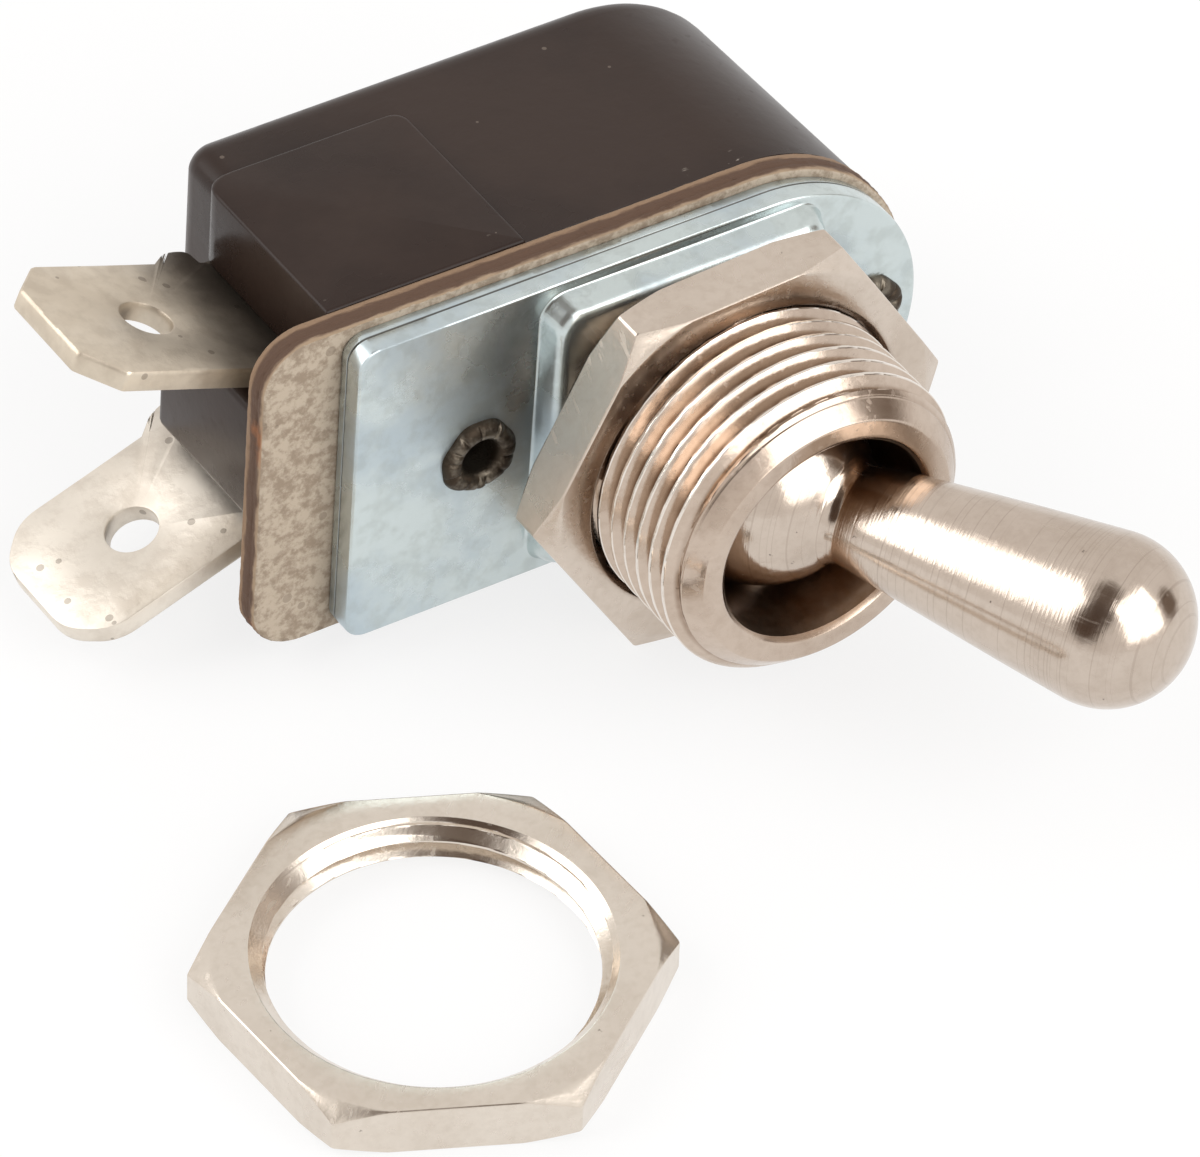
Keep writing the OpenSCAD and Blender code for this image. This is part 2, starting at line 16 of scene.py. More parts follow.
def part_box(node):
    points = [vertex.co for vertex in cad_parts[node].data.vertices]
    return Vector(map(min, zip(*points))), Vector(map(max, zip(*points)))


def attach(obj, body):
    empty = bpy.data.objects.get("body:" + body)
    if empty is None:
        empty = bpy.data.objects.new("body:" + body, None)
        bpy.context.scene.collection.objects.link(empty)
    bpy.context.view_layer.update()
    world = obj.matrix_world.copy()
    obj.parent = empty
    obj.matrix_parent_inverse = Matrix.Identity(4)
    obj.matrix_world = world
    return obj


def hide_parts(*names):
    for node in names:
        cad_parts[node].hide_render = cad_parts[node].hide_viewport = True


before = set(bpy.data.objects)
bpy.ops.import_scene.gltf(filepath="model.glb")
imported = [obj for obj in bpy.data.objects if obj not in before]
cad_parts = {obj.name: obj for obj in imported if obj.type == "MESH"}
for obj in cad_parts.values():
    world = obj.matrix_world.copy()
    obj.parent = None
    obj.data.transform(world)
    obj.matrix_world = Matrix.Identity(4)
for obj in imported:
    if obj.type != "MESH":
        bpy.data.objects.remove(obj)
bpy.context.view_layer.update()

# %% [markdown]
# ## Sizes
# The script thinks in millimetres and Blender in metres, so one factor joins them. The planes along
# the barrel's axis come from the boxes of the solids, and the rest are the source's own values.

# %% Planes and sizes, in millimetres
MM = 0.001


def extent(node):
    """Lowest and highest corner of a solid of the frame, in millimetres."""
    low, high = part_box(node)
    return np.array(low) / MM, np.array(high) / MM


barrel_y = extent("bushing")[0][1]
boss_y = extent("frame_plate")[0][1]
gasket_y, case_y = extent("gasket")[0][1], extent("gasket")[1][1]
back_y = extent("housing")[1][1]
boss_height, plate_thick = 1.0, 1.2
plate_y = boss_y + boss_height
round_x = 3.66
pivot_y, lever_tilt = -0.7, math.radians(26.87)
nut_turn, rest_pitch = math.radians(3.45), math.radians(2.459)
nut_thick = 1.75
print(f"barrel from {barrel_y:.2f}, boss {boss_y:.2f}, case from {case_y:.2f} to {back_y:.2f} mm")

# %% [markdown]
# ## Surfaces from rings
# Nearly every part here was turned, punched or moulded, so a stack of closed rings describes it: a
# ring is one row of points, and neighbouring rows are joined by four-cornered faces. A stack that
# ends where it began is a ring-shaped solid with a hole, and an open stack gets a cap at each end.


# %% Faces between rings
def quads(rows, cols, closed):
    """Faces of a grid: face (i, j) joins points j and j+1 of the rows i and i+1; the columns always
    close, and the rows close when the stack ends where it began."""
    i = np.arange(rows if closed else rows - 1)[:, None]
    j = np.arange(cols)[None, :]
    below, above, right = i * cols, (i + 1) % rows * cols, (j + 1) % cols
    return np.stack([below + j, below + right, above + right, above + j], -1).reshape(-1, 4)


def volume(points, faces):
    """Signed volume: the sum over all triangles of a . (b x c) / 6. It is positive when the faces
    point outwards."""
    a, b, c = points[faces[:, 0]], points[faces[:, 1]], points[faces[:, 2]]
    return np.einsum("ij,ij->i", a, np.cross(b, c)).sum() / 6


def solid(name, rings, closed=False):
    """A closed solid from an array of rings (rows, columns, 3) in millimetres. An open stack is
    capped by a fan of triangles from the middle of its first and last ring."""
    rows, cols = rings.shape[:2]
    points, walls = rings.reshape(-1, 3), quads(rows, cols, closed)
    faces = [walls]
    triangles = [walls[:, [0, 1, 2]], walls[:, [0, 2, 3]]]
    if not closed:
        points = np.vstack([points, rings[0].mean(0), rings[-1].mean(0)])
        j = np.arange(cols)
        k = (j + 1) % cols
        last = (rows - 1) * cols
        caps = [
            np.stack([k, j, np.full(cols, rows * cols)], -1),
            np.stack([last + j, last + k, np.full(cols, rows * cols + 1)], -1),
        ]
        faces += caps
        triangles += caps
    if volume(points, np.vstack(triangles)) < 0:
        faces = [f[:, ::-1] for f in faces]
    mesh = bpy.data.meshes.new(name)
    mesh.from_pydata((points * MM).tolist(), [], [row for f in faces for row in f.tolist()])
    obj = bpy.data.objects.new(name, mesh)
    bpy.context.scene.collection.objects.link(obj)
    return obj


# %% [markdown]
# ## Outlines and profiles
# An outline is a closed row of points in a plane. Real edges are never sharp, so the corners of an
# outline or of a turned profile are listed with a radius each, and `soften` rounds them.


# %% Rounded corners
def soften(corners, steps=4, closed=True):
    """Rounds a polyline. Each corner (across, along, radius) becomes a curve that leaves one side
    and joins the other a radius away from the corner: (1-t)^2 a + 2t(1-t) corner + t^2 b."""
    corners = np.asarray(corners, float)
    p, radius = corners[:, :2], corners[:, 2:3]
    back, ahead = np.roll(p, 1, 0) - p, np.roll(p, -1, 0) - p
    back_len = np.linalg.norm(back, axis=1, keepdims=True)
    ahead_len = np.linalg.norm(ahead, axis=1, keepdims=True)
    a = p + back / back_len * np.minimum(radius, back_len / 2)
    b = p + ahead / ahead_len * np.minimum(radius, ahead_len / 2)
    t = np.linspace(0, 1, steps + 1)[None, :, None]
    curve = (1 - t) ** 2 * a[:, None] + 2 * t * (1 - t) * p[:, None] + t**2 * b[:, None]
    if not closed:
        curve[0], curve[-1] = p[0], p[-1]
    return curve.reshape(-1, 2)


def refine(points, step, closed=True):
    """Adds points on the sides of a polyline so that no side is longer than the step."""
    ends = np.roll(points, -1, 0) if closed else np.vstack([points[1:], points[-1:]])
    count = np.maximum(1, np.ceil(np.linalg.norm(ends - points, axis=1) / step)).astype(int)
    start = np.repeat(np.arange(len(points)), count)
    share = (np.arange(count.sum()) - np.repeat(np.cumsum(count) - count, count)) / count[start]
    return points[start] + (ends - points)[start] * share[:, None]


def d_shape(half, left, corner, steps=14):
    """The case's outline: two straight long sides, a half circle of that half width about round_x
    at the right, and a straight left end with rounded corners. Rows of any size have equal counts."""
    arc = np.radians(np.linspace(-90, 90, 73))
    end = np.stack([round_x + half * np.cos(arc), half * np.sin(arc)], -1)
    quarter = np.radians(np.linspace(90, 180, steps))
    turn = np.stack([corner - left + corner * np.cos(quarter), half - corner + corner * np.sin(quarter)], -1)
    side = np.linspace([round_x, half], [corner - left, half], 60)[1:-1]
    top = np.vstack([side, turn])
    middle = np.linspace([-left, half - corner], [-left, corner - half], 30)[1:-1]
    return np.vstack([end, top, middle, (top * [1, -1])[::-1]])


def rounded(half_x, half_z, corner):
    """Rectangle with rounded corners, by its half widths."""
    arc = np.radians(np.arange(0, 91, 6))
    quarter = np.stack([half_x - corner + corner * np.cos(arc), half_z - corner + corner * np.sin(arc)], -1)
    half = np.vstack([quarter, (quarter * [-1, 1])[::-1]])
    return refine(np.vstack([half, (half * [1, -1])[::-1]]), 0.4)


# %% [markdown]
# ## Rings about an axis
# A punched plate or a nut has a hole and an outline that any ray from the hole's middle meets once.
# So both are a distance for each direction, and a ring is a pair of numbers for each direction:
# how far out it lies, and how high.


# %% Rings by direction
def reach(outline, angles):
    """Distance from the origin to an outline for each direction. The ray meets the side a-b at
    r = (a x ab) / (direction x ab)."""
    turn = np.arctan2(outline[:, 1], outline[:, 0])
    order = np.argsort(turn)
    p, turn = outline[order], turn[order]
    p = np.vstack([p[-1:], p, p[:1]])
    turn = np.concatenate([turn[-1:] - 2 * np.pi, turn, turn[:1] + 2 * np.pi])
    k = np.clip(np.searchsorted(turn, angles, side="right") - 1, 0, len(p) - 2)
    a, side = p[k], p[k + 1] - p[k]
    return (a[:, 0] * side[:, 1] - a[:, 1] * side[:, 0]) / (
        np.cos(angles) * side[:, 1] - np.sin(angles) * side[:, 0]
    )


def directions(*outlines, step=2.0):
    """Directions that pass through every point of the outlines, and no further apart than the step
    in degrees."""
    found = [np.radians(np.arange(-180, 180, step))]
    found += [np.arctan2(o[:, 1], o[:, 0]) for o in outlines]
    angles = np.unique(np.round(np.concatenate(found), 5))
    return angles[np.concatenate([[True], np.diff(angles) > 1e-4])]


def about_y(angles, radii, heights):
    """Rings about the Y axis: x = r cos(turn), y = height, z = r sin(turn). Radii and heights hold
    one number or one row of numbers for each ring."""
    r = np.stack([np.broadcast_to(np.asarray(v, float), angles.shape) for v in radii])
    h = np.stack([np.broadcast_to(np.asarray(v, float), angles.shape) for v in heights])
    return np.stack([r * np.cos(angles), h, r * np.sin(angles)], -1)


# %% [markdown]
# ## Cutting and joining
# Holes and slots that cross a surface at an angle are cut with a Boolean modifier, whose result is
# kept as the mesh, so the cutters can go.


# %% Boolean cuts, transforms and shading
def combine(target, tools, operation="DIFFERENCE"):
    """Cuts the tools from the target, or joins them to it, and keeps the result as its mesh."""
    for tool in tools:
        step = target.modifiers.new("combine", "BOOLEAN")
        step.operation, step.solver, step.object = operation, "EXACT", tool
    graph = bpy.context.evaluated_depsgraph_get()
    mesh = bpy.data.meshes.new_from_object(target.evaluated_get(graph))
    target.modifiers.clear()
    target.data = mesh
    for tool in tools:
        bpy.data.objects.remove(tool)
    return target


def rod(radius, low, high, x=0.0, z=0.0, name="rod"):
    """Plain cylinder along Y, used as a cutter."""
    angles = np.radians(np.arange(-180, 180, 5))
    return solid(name, about_y(angles, [radius] * 2, [low, high]) + [x, 0, z])


def block(low, high, edge=0.1, name="block", corners=None):
    """Box with rounded edges: rings along Z, each a softened rectangle, that shrink by the edge
    radius at both ends. The corners may have other radii, in the order of low, right, high, left."""
    (x0, y0, z0), (x1, y1, z1) = low, high
    corners = corners or [edge] * 4
    sweep = np.linspace(0, np.pi / 2, 5)
    inset = edge * (1 - np.sin(sweep))
    drop = edge * (1 - np.cos(sweep))
    rows = [(i, z0 + d) for i, d in zip(inset, drop)] + [(i, z1 - d) for i, d in zip(inset[::-1], drop[::-1])]
    rings = []
    for i, z in rows:
        flat = soften(
            [(x0 + i, y0 + i, corners[0]), (x1 - i, y0 + i, corners[1]),
             (x1 - i, y1 - i, corners[2]), (x0 + i, y1 - i, corners[3])], steps=6)
        rings.append(np.column_stack([flat, np.full(len(flat), z)]))
    return solid(name, np.array(rings))


def move(obj, matrix):
    """Applies a transform in millimetres to the mesh, so that the object stays at the origin."""
    scaled = matrix.copy()
    scaled.translation = scaled.translation * MM
    obj.data.transform(scaled)
    return obj


def shade(obj, angle=32):
    """Smooth shading, with every edge sharper than the angle kept as an edge."""
    obj.data.shade_smooth()
    obj.data.set_sharp_from_angle(angle=math.radians(angle))
    return obj


# %% [markdown]
# ## The barrel
# The barrel is turned from brass rod, its 32-per-inch thread is rolled, and it is nickel plated. A
# real helix is worth modelling, because its crests and its run-out into the chamfer catch the
# light. The thread is a radius that depends on the height and the direction together.

# %% Thread function
PITCH = 25.4 / 32
thread_r, thread_depth = 5.95, 0.47


def ridge(height, turn, crest=0.13, root=0.17):
    """Right-hand thread between 0 at the root and 1 at the crest. The phase is height / pitch +
    turn / 360 degrees, and the flanks are straight ramps between a narrow root and crest."""
    phase = (height / PITCH + turn / (2 * np.pi)) % 1
    return np.clip((np.abs(2 * phase - 1) - root) / (1 - crest - root), 0, 1)


# %% Barrel
bore_r, ring_r, lip = 4.05, 4.95, 0.2
thread_end, undercut_r = 1.95, 5.5
neck_r, stake_r, flare_r = 5.0, 5.15, 4.8
neck_back = boss_y + plate_thick
stake_back = neck_back + 0.4
turns = np.radians(np.arange(-180, 180, 1.5))
thread_from = barrel_y + 0.1
thread_y = np.concatenate([np.arange(thread_from, 0.8, PITCH / 36), np.arange(0.8, thread_end, PITCH / 8)])
run = thread_y - thread_from
chamfer = ring_r + 0.1 + 0.95 * run**0.93
for mark in (0.5, 0.74):
    chamfer -= 0.03 * np.exp(-(((run - mark) / 0.025) ** 2))
wall = thread_r - thread_depth * (1 - ridge(thread_y[:, None], turns[None, :]))
wall = np.minimum(wall, chamfer[:, None])
front = soften([(bore_r, barrel_y + lip, 0.1), (bore_r + lip, barrel_y, 0.12), (ring_r, barrel_y, 0.1),
                (ring_r + 0.1, barrel_y + 0.1, 0.05)], closed=False)
back = soften([(undercut_r, thread_end + 0.05, 0.02), (undercut_r, boss_y, 0.05), (neck_r, boss_y, 0.02),
               (neck_r, neck_back, 0.02), (stake_r, neck_back, 0.05), (stake_r, stake_back, 0.1),
               (flare_r, stake_back, 0.1), (bore_r, boss_y - 0.4, 0.3), (bore_r, 2.0, 0.1),
               (bore_r, 0.0, 0.1),
               (bore_r, -2.2, 0.1)], closed=False)
radii = list(front[:, 0]) + list(wall) + list(back[:, 0])
heights = list(front[:, 1]) + list(thread_y) + list(back[:, 1])
barrel = solid("threaded_barrel", about_y(turns, radii, heights), closed=True)
slot_half, slot_end = 0.8, 4.7
slots = [block((-slot_half, pivot_y - slot_half, 3.5 * s if s > 0 else -slot_end),
               (slot_half, stake_back + 0.5, slot_end if s > 0 else -3.5), 0.05,
               corners=[slot_half * 0.9, slot_half * 0.9, 0.05, 0.05]) for s in (1, -1)]
combine(barrel, slots)
shade(barrel, 40)
print("barrel faces:", len(barrel.data.polygons))

# %% [markdown]
# ## The hexagon nuts
# Both nuts are sliced from hexagon bar. One side is chamfered at 30 degrees, which leaves curved
# corners and a flat ring, and the hole is countersunk. A ring of a hexagon is again a distance for
# each direction, with more directions near the six corners.

# %% Nut
hole_r, rim_r, nut_ring, nut_edge, corner_round = 5.97, 6.2, 7.43, 0.06, 0.18
nut_width, nut_front, nut_back = 14.3, 0.45, 2.38
near_corner = np.array([0, 0.15, 0.3, 0.45, 0.6, 0.85, 1.3])
sector = np.concatenate([near_corner, np.arange(2, 59, 1.5), 60 - near_corner[:0:-1]])
nut_angles = np.radians((np.arange(6)[:, None] * 60 + sector).ravel() - 180)


def hexagon(angles, flats):
    """Distance to a hexagon with rounded corners: flats / 2 / cos(turn from the nearest flat), and
    near a corner the far crossing of the ray with the corner's circle."""
    turn = np.radians(30) - np.abs(angles % np.radians(60) - np.radians(30))
    side = flats / 2 / np.cos(np.radians(30) - turn)
    centre = (flats / 2 - corner_round) / math.cos(math.radians(30))
    limit = math.atan2(corner_round / 2, centre + corner_round * math.cos(math.radians(30)))
    inner = np.minimum(turn, limit)
    arc = centre * np.cos(inner) + np.sqrt(np.maximum(corner_round**2 - (centre * np.sin(inner)) ** 2, 0))
    return np.where(turn < limit, np.minimum(arc, side), side)


def chamfered_side(outside, slope=0.51):
    """Rings from the flat ring over the chamfer to the side of the nut, as radius and depth. The
    chamfer falls (r - ring) * slope, so it only takes the corners, and every edge is broken."""
    wide = np.maximum(outside - nut_edge - nut_ring, 0.008)
    start, drop = outside - nut_edge - wide, wide * slope
    return [(start - 0.1, 0.0), (start - 0.012, 0.0), (start + 0.06 * wide, 0.04 * drop),
            (start + 0.4 * wide, 0.4 * drop), (start + 0.75 * wide, 0.75 * drop), (start + wide, drop),
            (outside - 0.3 * nut_edge, drop + 0.3 * nut_edge), (outside, drop + nut_edge)]


def hexagon_nut(name, thick, thread=0.0):
    """Nut with its two faces at y = 0 and y = thick. A thread depth above 0 lets the thread's crests
    stand into the hole, and the countersink cuts them back at 45 degrees at both ends."""
    side = chamfered_side(hexagon(nut_angles, nut_width))
    outer = side + [(r, thick - depth) for r, depth in side[::-1]]
    depth = np.linspace(thick - 0.02, 0.02, 84)
    major = hole_r + (0.08 if thread else 0.0)
    crest = major - thread * ridge(depth[:, None], nut_angles[None, :])
    sink = rim_r - np.minimum(depth, thick - depth)[:, None]
    bore = np.maximum(crest, sink)
    rows = outer + [(rim_r + 0.03, thick)] + [(row, y) for row, y in zip(bore, depth)] + [(rim_r + 0.03, 0.0)]
    return solid(name, about_y(nut_angles, [r for r, _ in rows], [y for _, y in rows]), closed=True)


rest = (Matrix.Rotation(-nut_turn, 4, "Y") @ Matrix.Translation((0, nut_thick, -nut_width / 2))
        @ Matrix.Rotation(rest_pitch, 4, "X"))
back_nut = move(hexagon_nut("hex_nut_back", nut_back - nut_front),
                Matrix.Rotation(-nut_turn, 4, "Y") @ Matrix.Translation((0, nut_front, 0)))
loose_thick = 1.95
loose_nut = move(hexagon_nut("hex_nut_loose", loose_thick, thread=0.45),
                 rest @ Matrix.Translation((-18.6, -10.95, loose_thick))
                 @ Matrix.Rotation(math.radians(-26), 4, "Z") @ Matrix.Rotation(math.radians(-90), 4, "X"))
for nut in (back_nut, loose_nut):
    shade(nut, 22)
print("nut faces:", len(back_nut.data.polygons), len(loose_nut.data.polygons))

# %% [markdown]
# ## The zinc-plated frame
# The frame is one punched sheet. A square boss is drawn forward round the barrel, so the sheet has
# soft bends there, while its cut edge has a bright sheared band, a thin line and a rougher torn
# band. One stack of rings runs over all of it, from the hole over the boss to the edge and back.

# %% Frame
boss_foot = rounded(5.7, 5.9, 1.0)
hollow = rounded(5.2, 5.4, 0.9)
plate_outline = d_shape(6.33, 12.92, 0.8)
plate_angles = directions(boss_foot, plate_outline)
foot = reach(boss_foot, plate_angles)
edge = reach(plate_outline, plate_angles)
bend = soften([(-1.2, boss_y, 0), (-0.42, boss_y, 0.42), (0.0, plate_y, 0.16), (0.14, plate_y, 0)],
              steps=8, closed=False)
cut_edge = [(-0.16, plate_y), (-0.13, plate_y), (-0.07, plate_y + 0.012), (-0.02, plate_y + 0.05),
            (0, plate_y + 0.13), (0, plate_y + 0.7), (-0.025, plate_y + 0.72), (-0.03, plate_y + 0.76),
            (-0.005, plate_y + 0.79), (-0.02, gasket_y - 0.1), (-0.09, gasket_y - 0.01)]
rows = [(neck_r, neck_back), (neck_r, boss_y + 0.06), (neck_r + 0.06, boss_y)]
rows += [(foot + offset, y) for offset, y in bend]
rows += [(edge + offset, y) for offset, y in cut_edge]
inside = reach(hollow, plate_angles)
rows += [(edge - 0.12, gasket_y), (inside + 0.1, gasket_y), (inside, gasket_y - 0.1),
         (inside, neck_back + 0.1), (inside - 0.1, neck_back)]
plate = solid("zinc_frame", about_y(plate_angles, [r for r, _ in rows], [y for _, y in rows]), closed=True)
eyelet_x, eyelet_r = 7.9, 1.05
combine(plate, [rod(eyelet_r + 0.05, plate_y - 1, gasket_y + 1, x=s * eyelet_x) for s in (-1, 1)])
shade(plate, 34)
print("frame faces:", len(plate.data.polygons))

# %% [markdown]
# ## The fibre gasket
# Vulcanised fibre is pressed from layers of paper, so a punched edge frays in thin bands. The edge
# moves in and out a little from point to point and from layer to layer; smoothed random numbers
# with a fixed seed do that, and the face stays flat.

# %% Gasket
gasket_outline = refine(d_shape(6.65, 15.98, 1.9), 0.18)
opening = rounded(5.2, 2.2, 1.5)
gasket_angles = directions(gasket_outline, opening, step=3)
gasket_edge = reach(gasket_outline, gasket_angles)
gasket_hole = reach(opening, gasket_angles)
random = np.random.default_rng(11)


def frayed(amount, smooth):
    """Random numbers from 0 to the amount, averaged over their neighbours along the edge."""
    raw = random.random(len(gasket_angles))
    kernel = np.ones(smooth) / smooth
    wrapped = np.concatenate([raw[-smooth:], raw, raw[:smooth]])
    soft = np.convolve(wrapped, kernel, "same")[smooth:-smooth]
    return amount * (soft - soft.min()) / (soft.max() - soft.min())


broad = frayed(0.05, 25)
layers = [(0.12, 0.0, 0.02), (0.05, 0.05, 0.03), (0.0, 0.17, 0.05), (0.03, 0.3, 0.05), (0.06, 0.36, 0.04),
          (0.02, 0.44, 0.05), (0.0, 0.62, 0.05), (0.04, 0.72, 0.04), (0.02, 0.82, 0.05), (0.04, 0.95, 0.03)]
rows = [(gasket_hole, case_y - 0.05), (gasket_hole, gasket_y + 0.05), (gasket_hole + 0.05, gasket_y),
        (gasket_edge - 0.6, gasket_y), (gasket_edge - 0.25, gasket_y)]
rows += [(gasket_edge - inset - broad - frayed(rough, 3), gasket_y + depth) for inset, depth, rough in layers]
rows += [(gasket_edge - 0.15, case_y), (gasket_hole + 0.05, case_y)]
gasket_rings = about_y(gasket_angles, [r for r, _ in rows], [y for _, y in rows])
gasket = solid("fibre_gasket", gasket_rings, closed=True)
combine(gasket, [rod(eyelet_r + 0.05, gasket_y - 1, case_y + 1, x=s * eyelet_x) for s in (-1, 1)])
shade(gasket, 50)
print("gasket faces:", len(gasket.data.polygons))

# %% [markdown]
# ## The moulded case
# The case leaves its mould towards the back, so the walls narrow a little and the back edge is
# rounded. Two raised pads wrap its left end as far as the slots for the tabs, with a block between
# them. Rings that shrink with depth make the body; pads and block are joined to it, and then the
# cavity, the slots and the holes for the eyelets are cut.

# %% Case
case_half, case_left, draft, back_edge = 6.52, 12.5, 0.3, 1.2
sweep = np.radians(np.linspace(0, 90, 9))
case_deep = back_y - case_y
round_back = case_deep - back_edge * (1 - np.sin(sweep[1:]))
depths = np.concatenate([[0, 0.05], [case_deep - back_edge], round_back])
insets = np.concatenate([[0.05, 0], [draft], draft + back_edge * (1 - np.cos(sweep[1:]))])
rows = []
for depth, inset in zip(depths, insets):
    ring = d_shape(case_half - inset, case_left - inset, max(0.95 - 0.3 * inset, 0.2))
    rows.append(np.stack([ring[:, 0], np.full(len(ring), case_y + depth), ring[:, 1]], -1))
case = solid("case_moulding", np.array(rows))
tab_z, tab_thick, tab_wide = 3.0, 0.8, 6.4
tab_y = case_y + 1.2
slot = tab_thick / 2 + 0.05
pad_left, pad_right, pad_half, pad_back = 12.9, 4.95, 6.68, case_y + 8.0
pads = []
for side in (1, -1):
    low, high = sorted((side * (tab_z + slot), side * pad_half))
    pads.append(block((-pad_left, case_y, low), (-pad_right, pad_back, high), 0.14,
                      corners=[0.06, 0.06, 0.62, 1.0]))
pads.append(block((-15.0, case_y, -2.5), (-12.0, case_y + 7.0, 2.5), 0.35))
combine(case, pads, "UNION")
floor_y, cavity_x, cavity_z = back_y - 1.4, 6.3, 4.8
cutters = [block((-cavity_x, case_y - 1, -cavity_z), (cavity_x, floor_y, cavity_z), 0.4)]
for side in (1, -1):
    slot_low = (-15.2, case_y - 1, side * tab_z - slot)
    slot_high = (-5.9, tab_y + tab_wide + 0.05, side * tab_z + slot)
    cutters.append(block(slot_low, slot_high, 0.02))
    cutters.append(rod(eyelet_r + 0.05, case_y - 1, back_y + 1, x=side * eyelet_x))
    cutters.append(rod(1.85, back_y - 0.7, back_y + 1, x=side * eyelet_x))
combine(case, cutters)
rocker_y = 12.75
ribs = [block((-1.1, rocker_y - 0.75, low), (1.1, floor_y + 0.1, low + 1.1), 0.08) for low in (1.9, -3.0)]
combine(ribs[0], [ribs.pop(1)], "UNION")
bearing = rod(0.6, -3.5, 3.5)
move(bearing, Matrix.Translation((0, rocker_y, 0)) @ Matrix.Rotation(math.radians(90), 4, "X"))
combine(ribs[0], [bearing, block((-0.6, rocker_y - 1.5, -3.5), (0.6, rocker_y, 3.5), 0.02)])
ledge = block((4.2, extent("contact_bridge")[1][1] + 0.1, -1.8), (cavity_x + 0.1, floor_y + 0.1, 1.8), 0.08)
combine(case, [ribs[0], ledge], "UNION")
shade(case, 34)
print("case faces:", len(case.data.polygons))

# %% [markdown]
# ## The terminal tabs
# Each terminal is a punched brass strip with a tin coat: a wide tab with chamfered or rounded tip
# corners and a wiring hole, bent away from the middle as it leaves the case, then a straight blade
# and a foot under the bridge. The tab's rings run round its hole.

# %% Terminals
splay = math.radians(20.5)
bend_x, tab_long, hole_at, tab_hole_r = -12.95, 8.8, 4.7, 0.95
edge_soft = 0.09


def tab_outline(tip, shoulder_len=1.8, shoulder_high=0.7):
    """Outline in the tab's own plane about its hole: u runs outward from the bend and v across."""
    far, wide = tab_long, tab_wide
    corners = [(-0.02, 0, 0.02), (far - 1.3, 0, tip), (far, 1.3, tip), (far, wide - 1.3, tip),
               (far - 1.3, wide, tip), (shoulder_len, wide, 0.1),
               (shoulder_len - 0.05, wide + shoulder_high * 0.7, 0.3),
               (shoulder_len - 0.7, wide + shoulder_high, 0.3), (0.4, wide + shoulder_high, 0.3),
               (0.3, wide, 0.1), (-0.02, wide, 0.02)]
    return refine(soften(corners, steps=8) - [hole_at, tab_wide / 2], 0.35)


def terminal(name, side, tip):
    """Splayed tab, bend, straight blade and foot, joined into one solid."""
    outline = tab_outline(tip)
    angles = directions(outline, step=6)
    out, e, w = reach(outline, angles), edge_soft, tab_thick / 2
    rows = [(tab_hole_r, 0.28 * w), (tab_hole_r, w - e), (tab_hole_r + 0.3 * e, w - 0.3 * e),
            (tab_hole_r + e, w),
            (out - 2 * e, w), (out - 0.8 * e, w - 0.15 * e), (out - 0.15 * e, w - 0.8 * e), (out, w - 2 * e),
            (out, e - w), (out - 0.3 * e, 0.3 * e - w), (out - e, -w), (tab_hole_r + e, -w),
            (tab_hole_r + 0.3 * e, 0.3 * e - w), (tab_hole_r, e - w)]
    local = about_y(angles, [r for r, _ in rows], [h for _, h in rows])
    u, v, t = local[..., 0] + hole_at, local[..., 2] + tab_wide / 2, local[..., 1]
    rings = np.stack([bend_x - u * math.cos(splay) + t * math.sin(splay), tab_y + v,
                      side * (tab_z + u * math.sin(splay) + t * math.cos(splay))], -1)
    tab = solid(name, rings, closed=True)
    parts = [rod(w, tab_y + 0.02, tab_y + tab_wide - 0.02, x=bend_x, z=side * tab_z),
             block((bend_x, tab_y, side * tab_z - w), (-6.3, tab_y + tab_wide, side * tab_z + w), 0.05)]
    low, high = extent("fixed_contact_upper")
    foot_y = high[1]
    z0, z1 = sorted((side * tab_z - side * w, side * tab_z + side * w))
    parts.append(block((bend_x + 1.0, foot_y, z0), (-2.9, tab_y + tab_wide, z1), 0.05))
    f0, f1 = sorted((side * 0.7, side * (tab_z - w + 0.1)))
    parts.append(block((-5.5, foot_y, f0), (-2.9, foot_y + tab_thick, f1), 0.05))
    combine(tab, parts, "UNION")
    return shade(tab, 38)


tab_upper = terminal("terminal_tab_upper", 1, 0.12)
tab_lower = terminal("terminal_tab_lower", -1, 0.75)
print("tab faces:", len(tab_upper.data.polygons), len(tab_lower.data.polygons))

# %% [markdown]
# ## The eyelets
# Two tubular rivets hold case, gasket and frame together. Rolling the tube's end over stretches it,
# so the rim splits in short radial cracks. The cracks are dips of the height at a few directions.

# %% Eyelets
rim_r, tube_hole = 1.45, 0.7
rim_angles = np.radians(np.arange(-180, 180, 1.25))


def cracks(angles, count, seed):
    """Sum of narrow dips: exp(-(distance to a random direction / width)^2) for each crack."""
    pick = np.random.default_rng(seed)
    places = np.linspace(-np.pi, np.pi, count, endpoint=False) + pick.uniform(-0.2, 0.2, count)
    width, deep = pick.uniform(0.03, 0.08, count), pick.uniform(0.3, 1.0, count)
    away = np.abs((angles[:, None] - places + np.pi) % (2 * np.pi) - np.pi)
    return np.clip((deep * np.exp(-((away / width) ** 2))).sum(1), 0, 1)


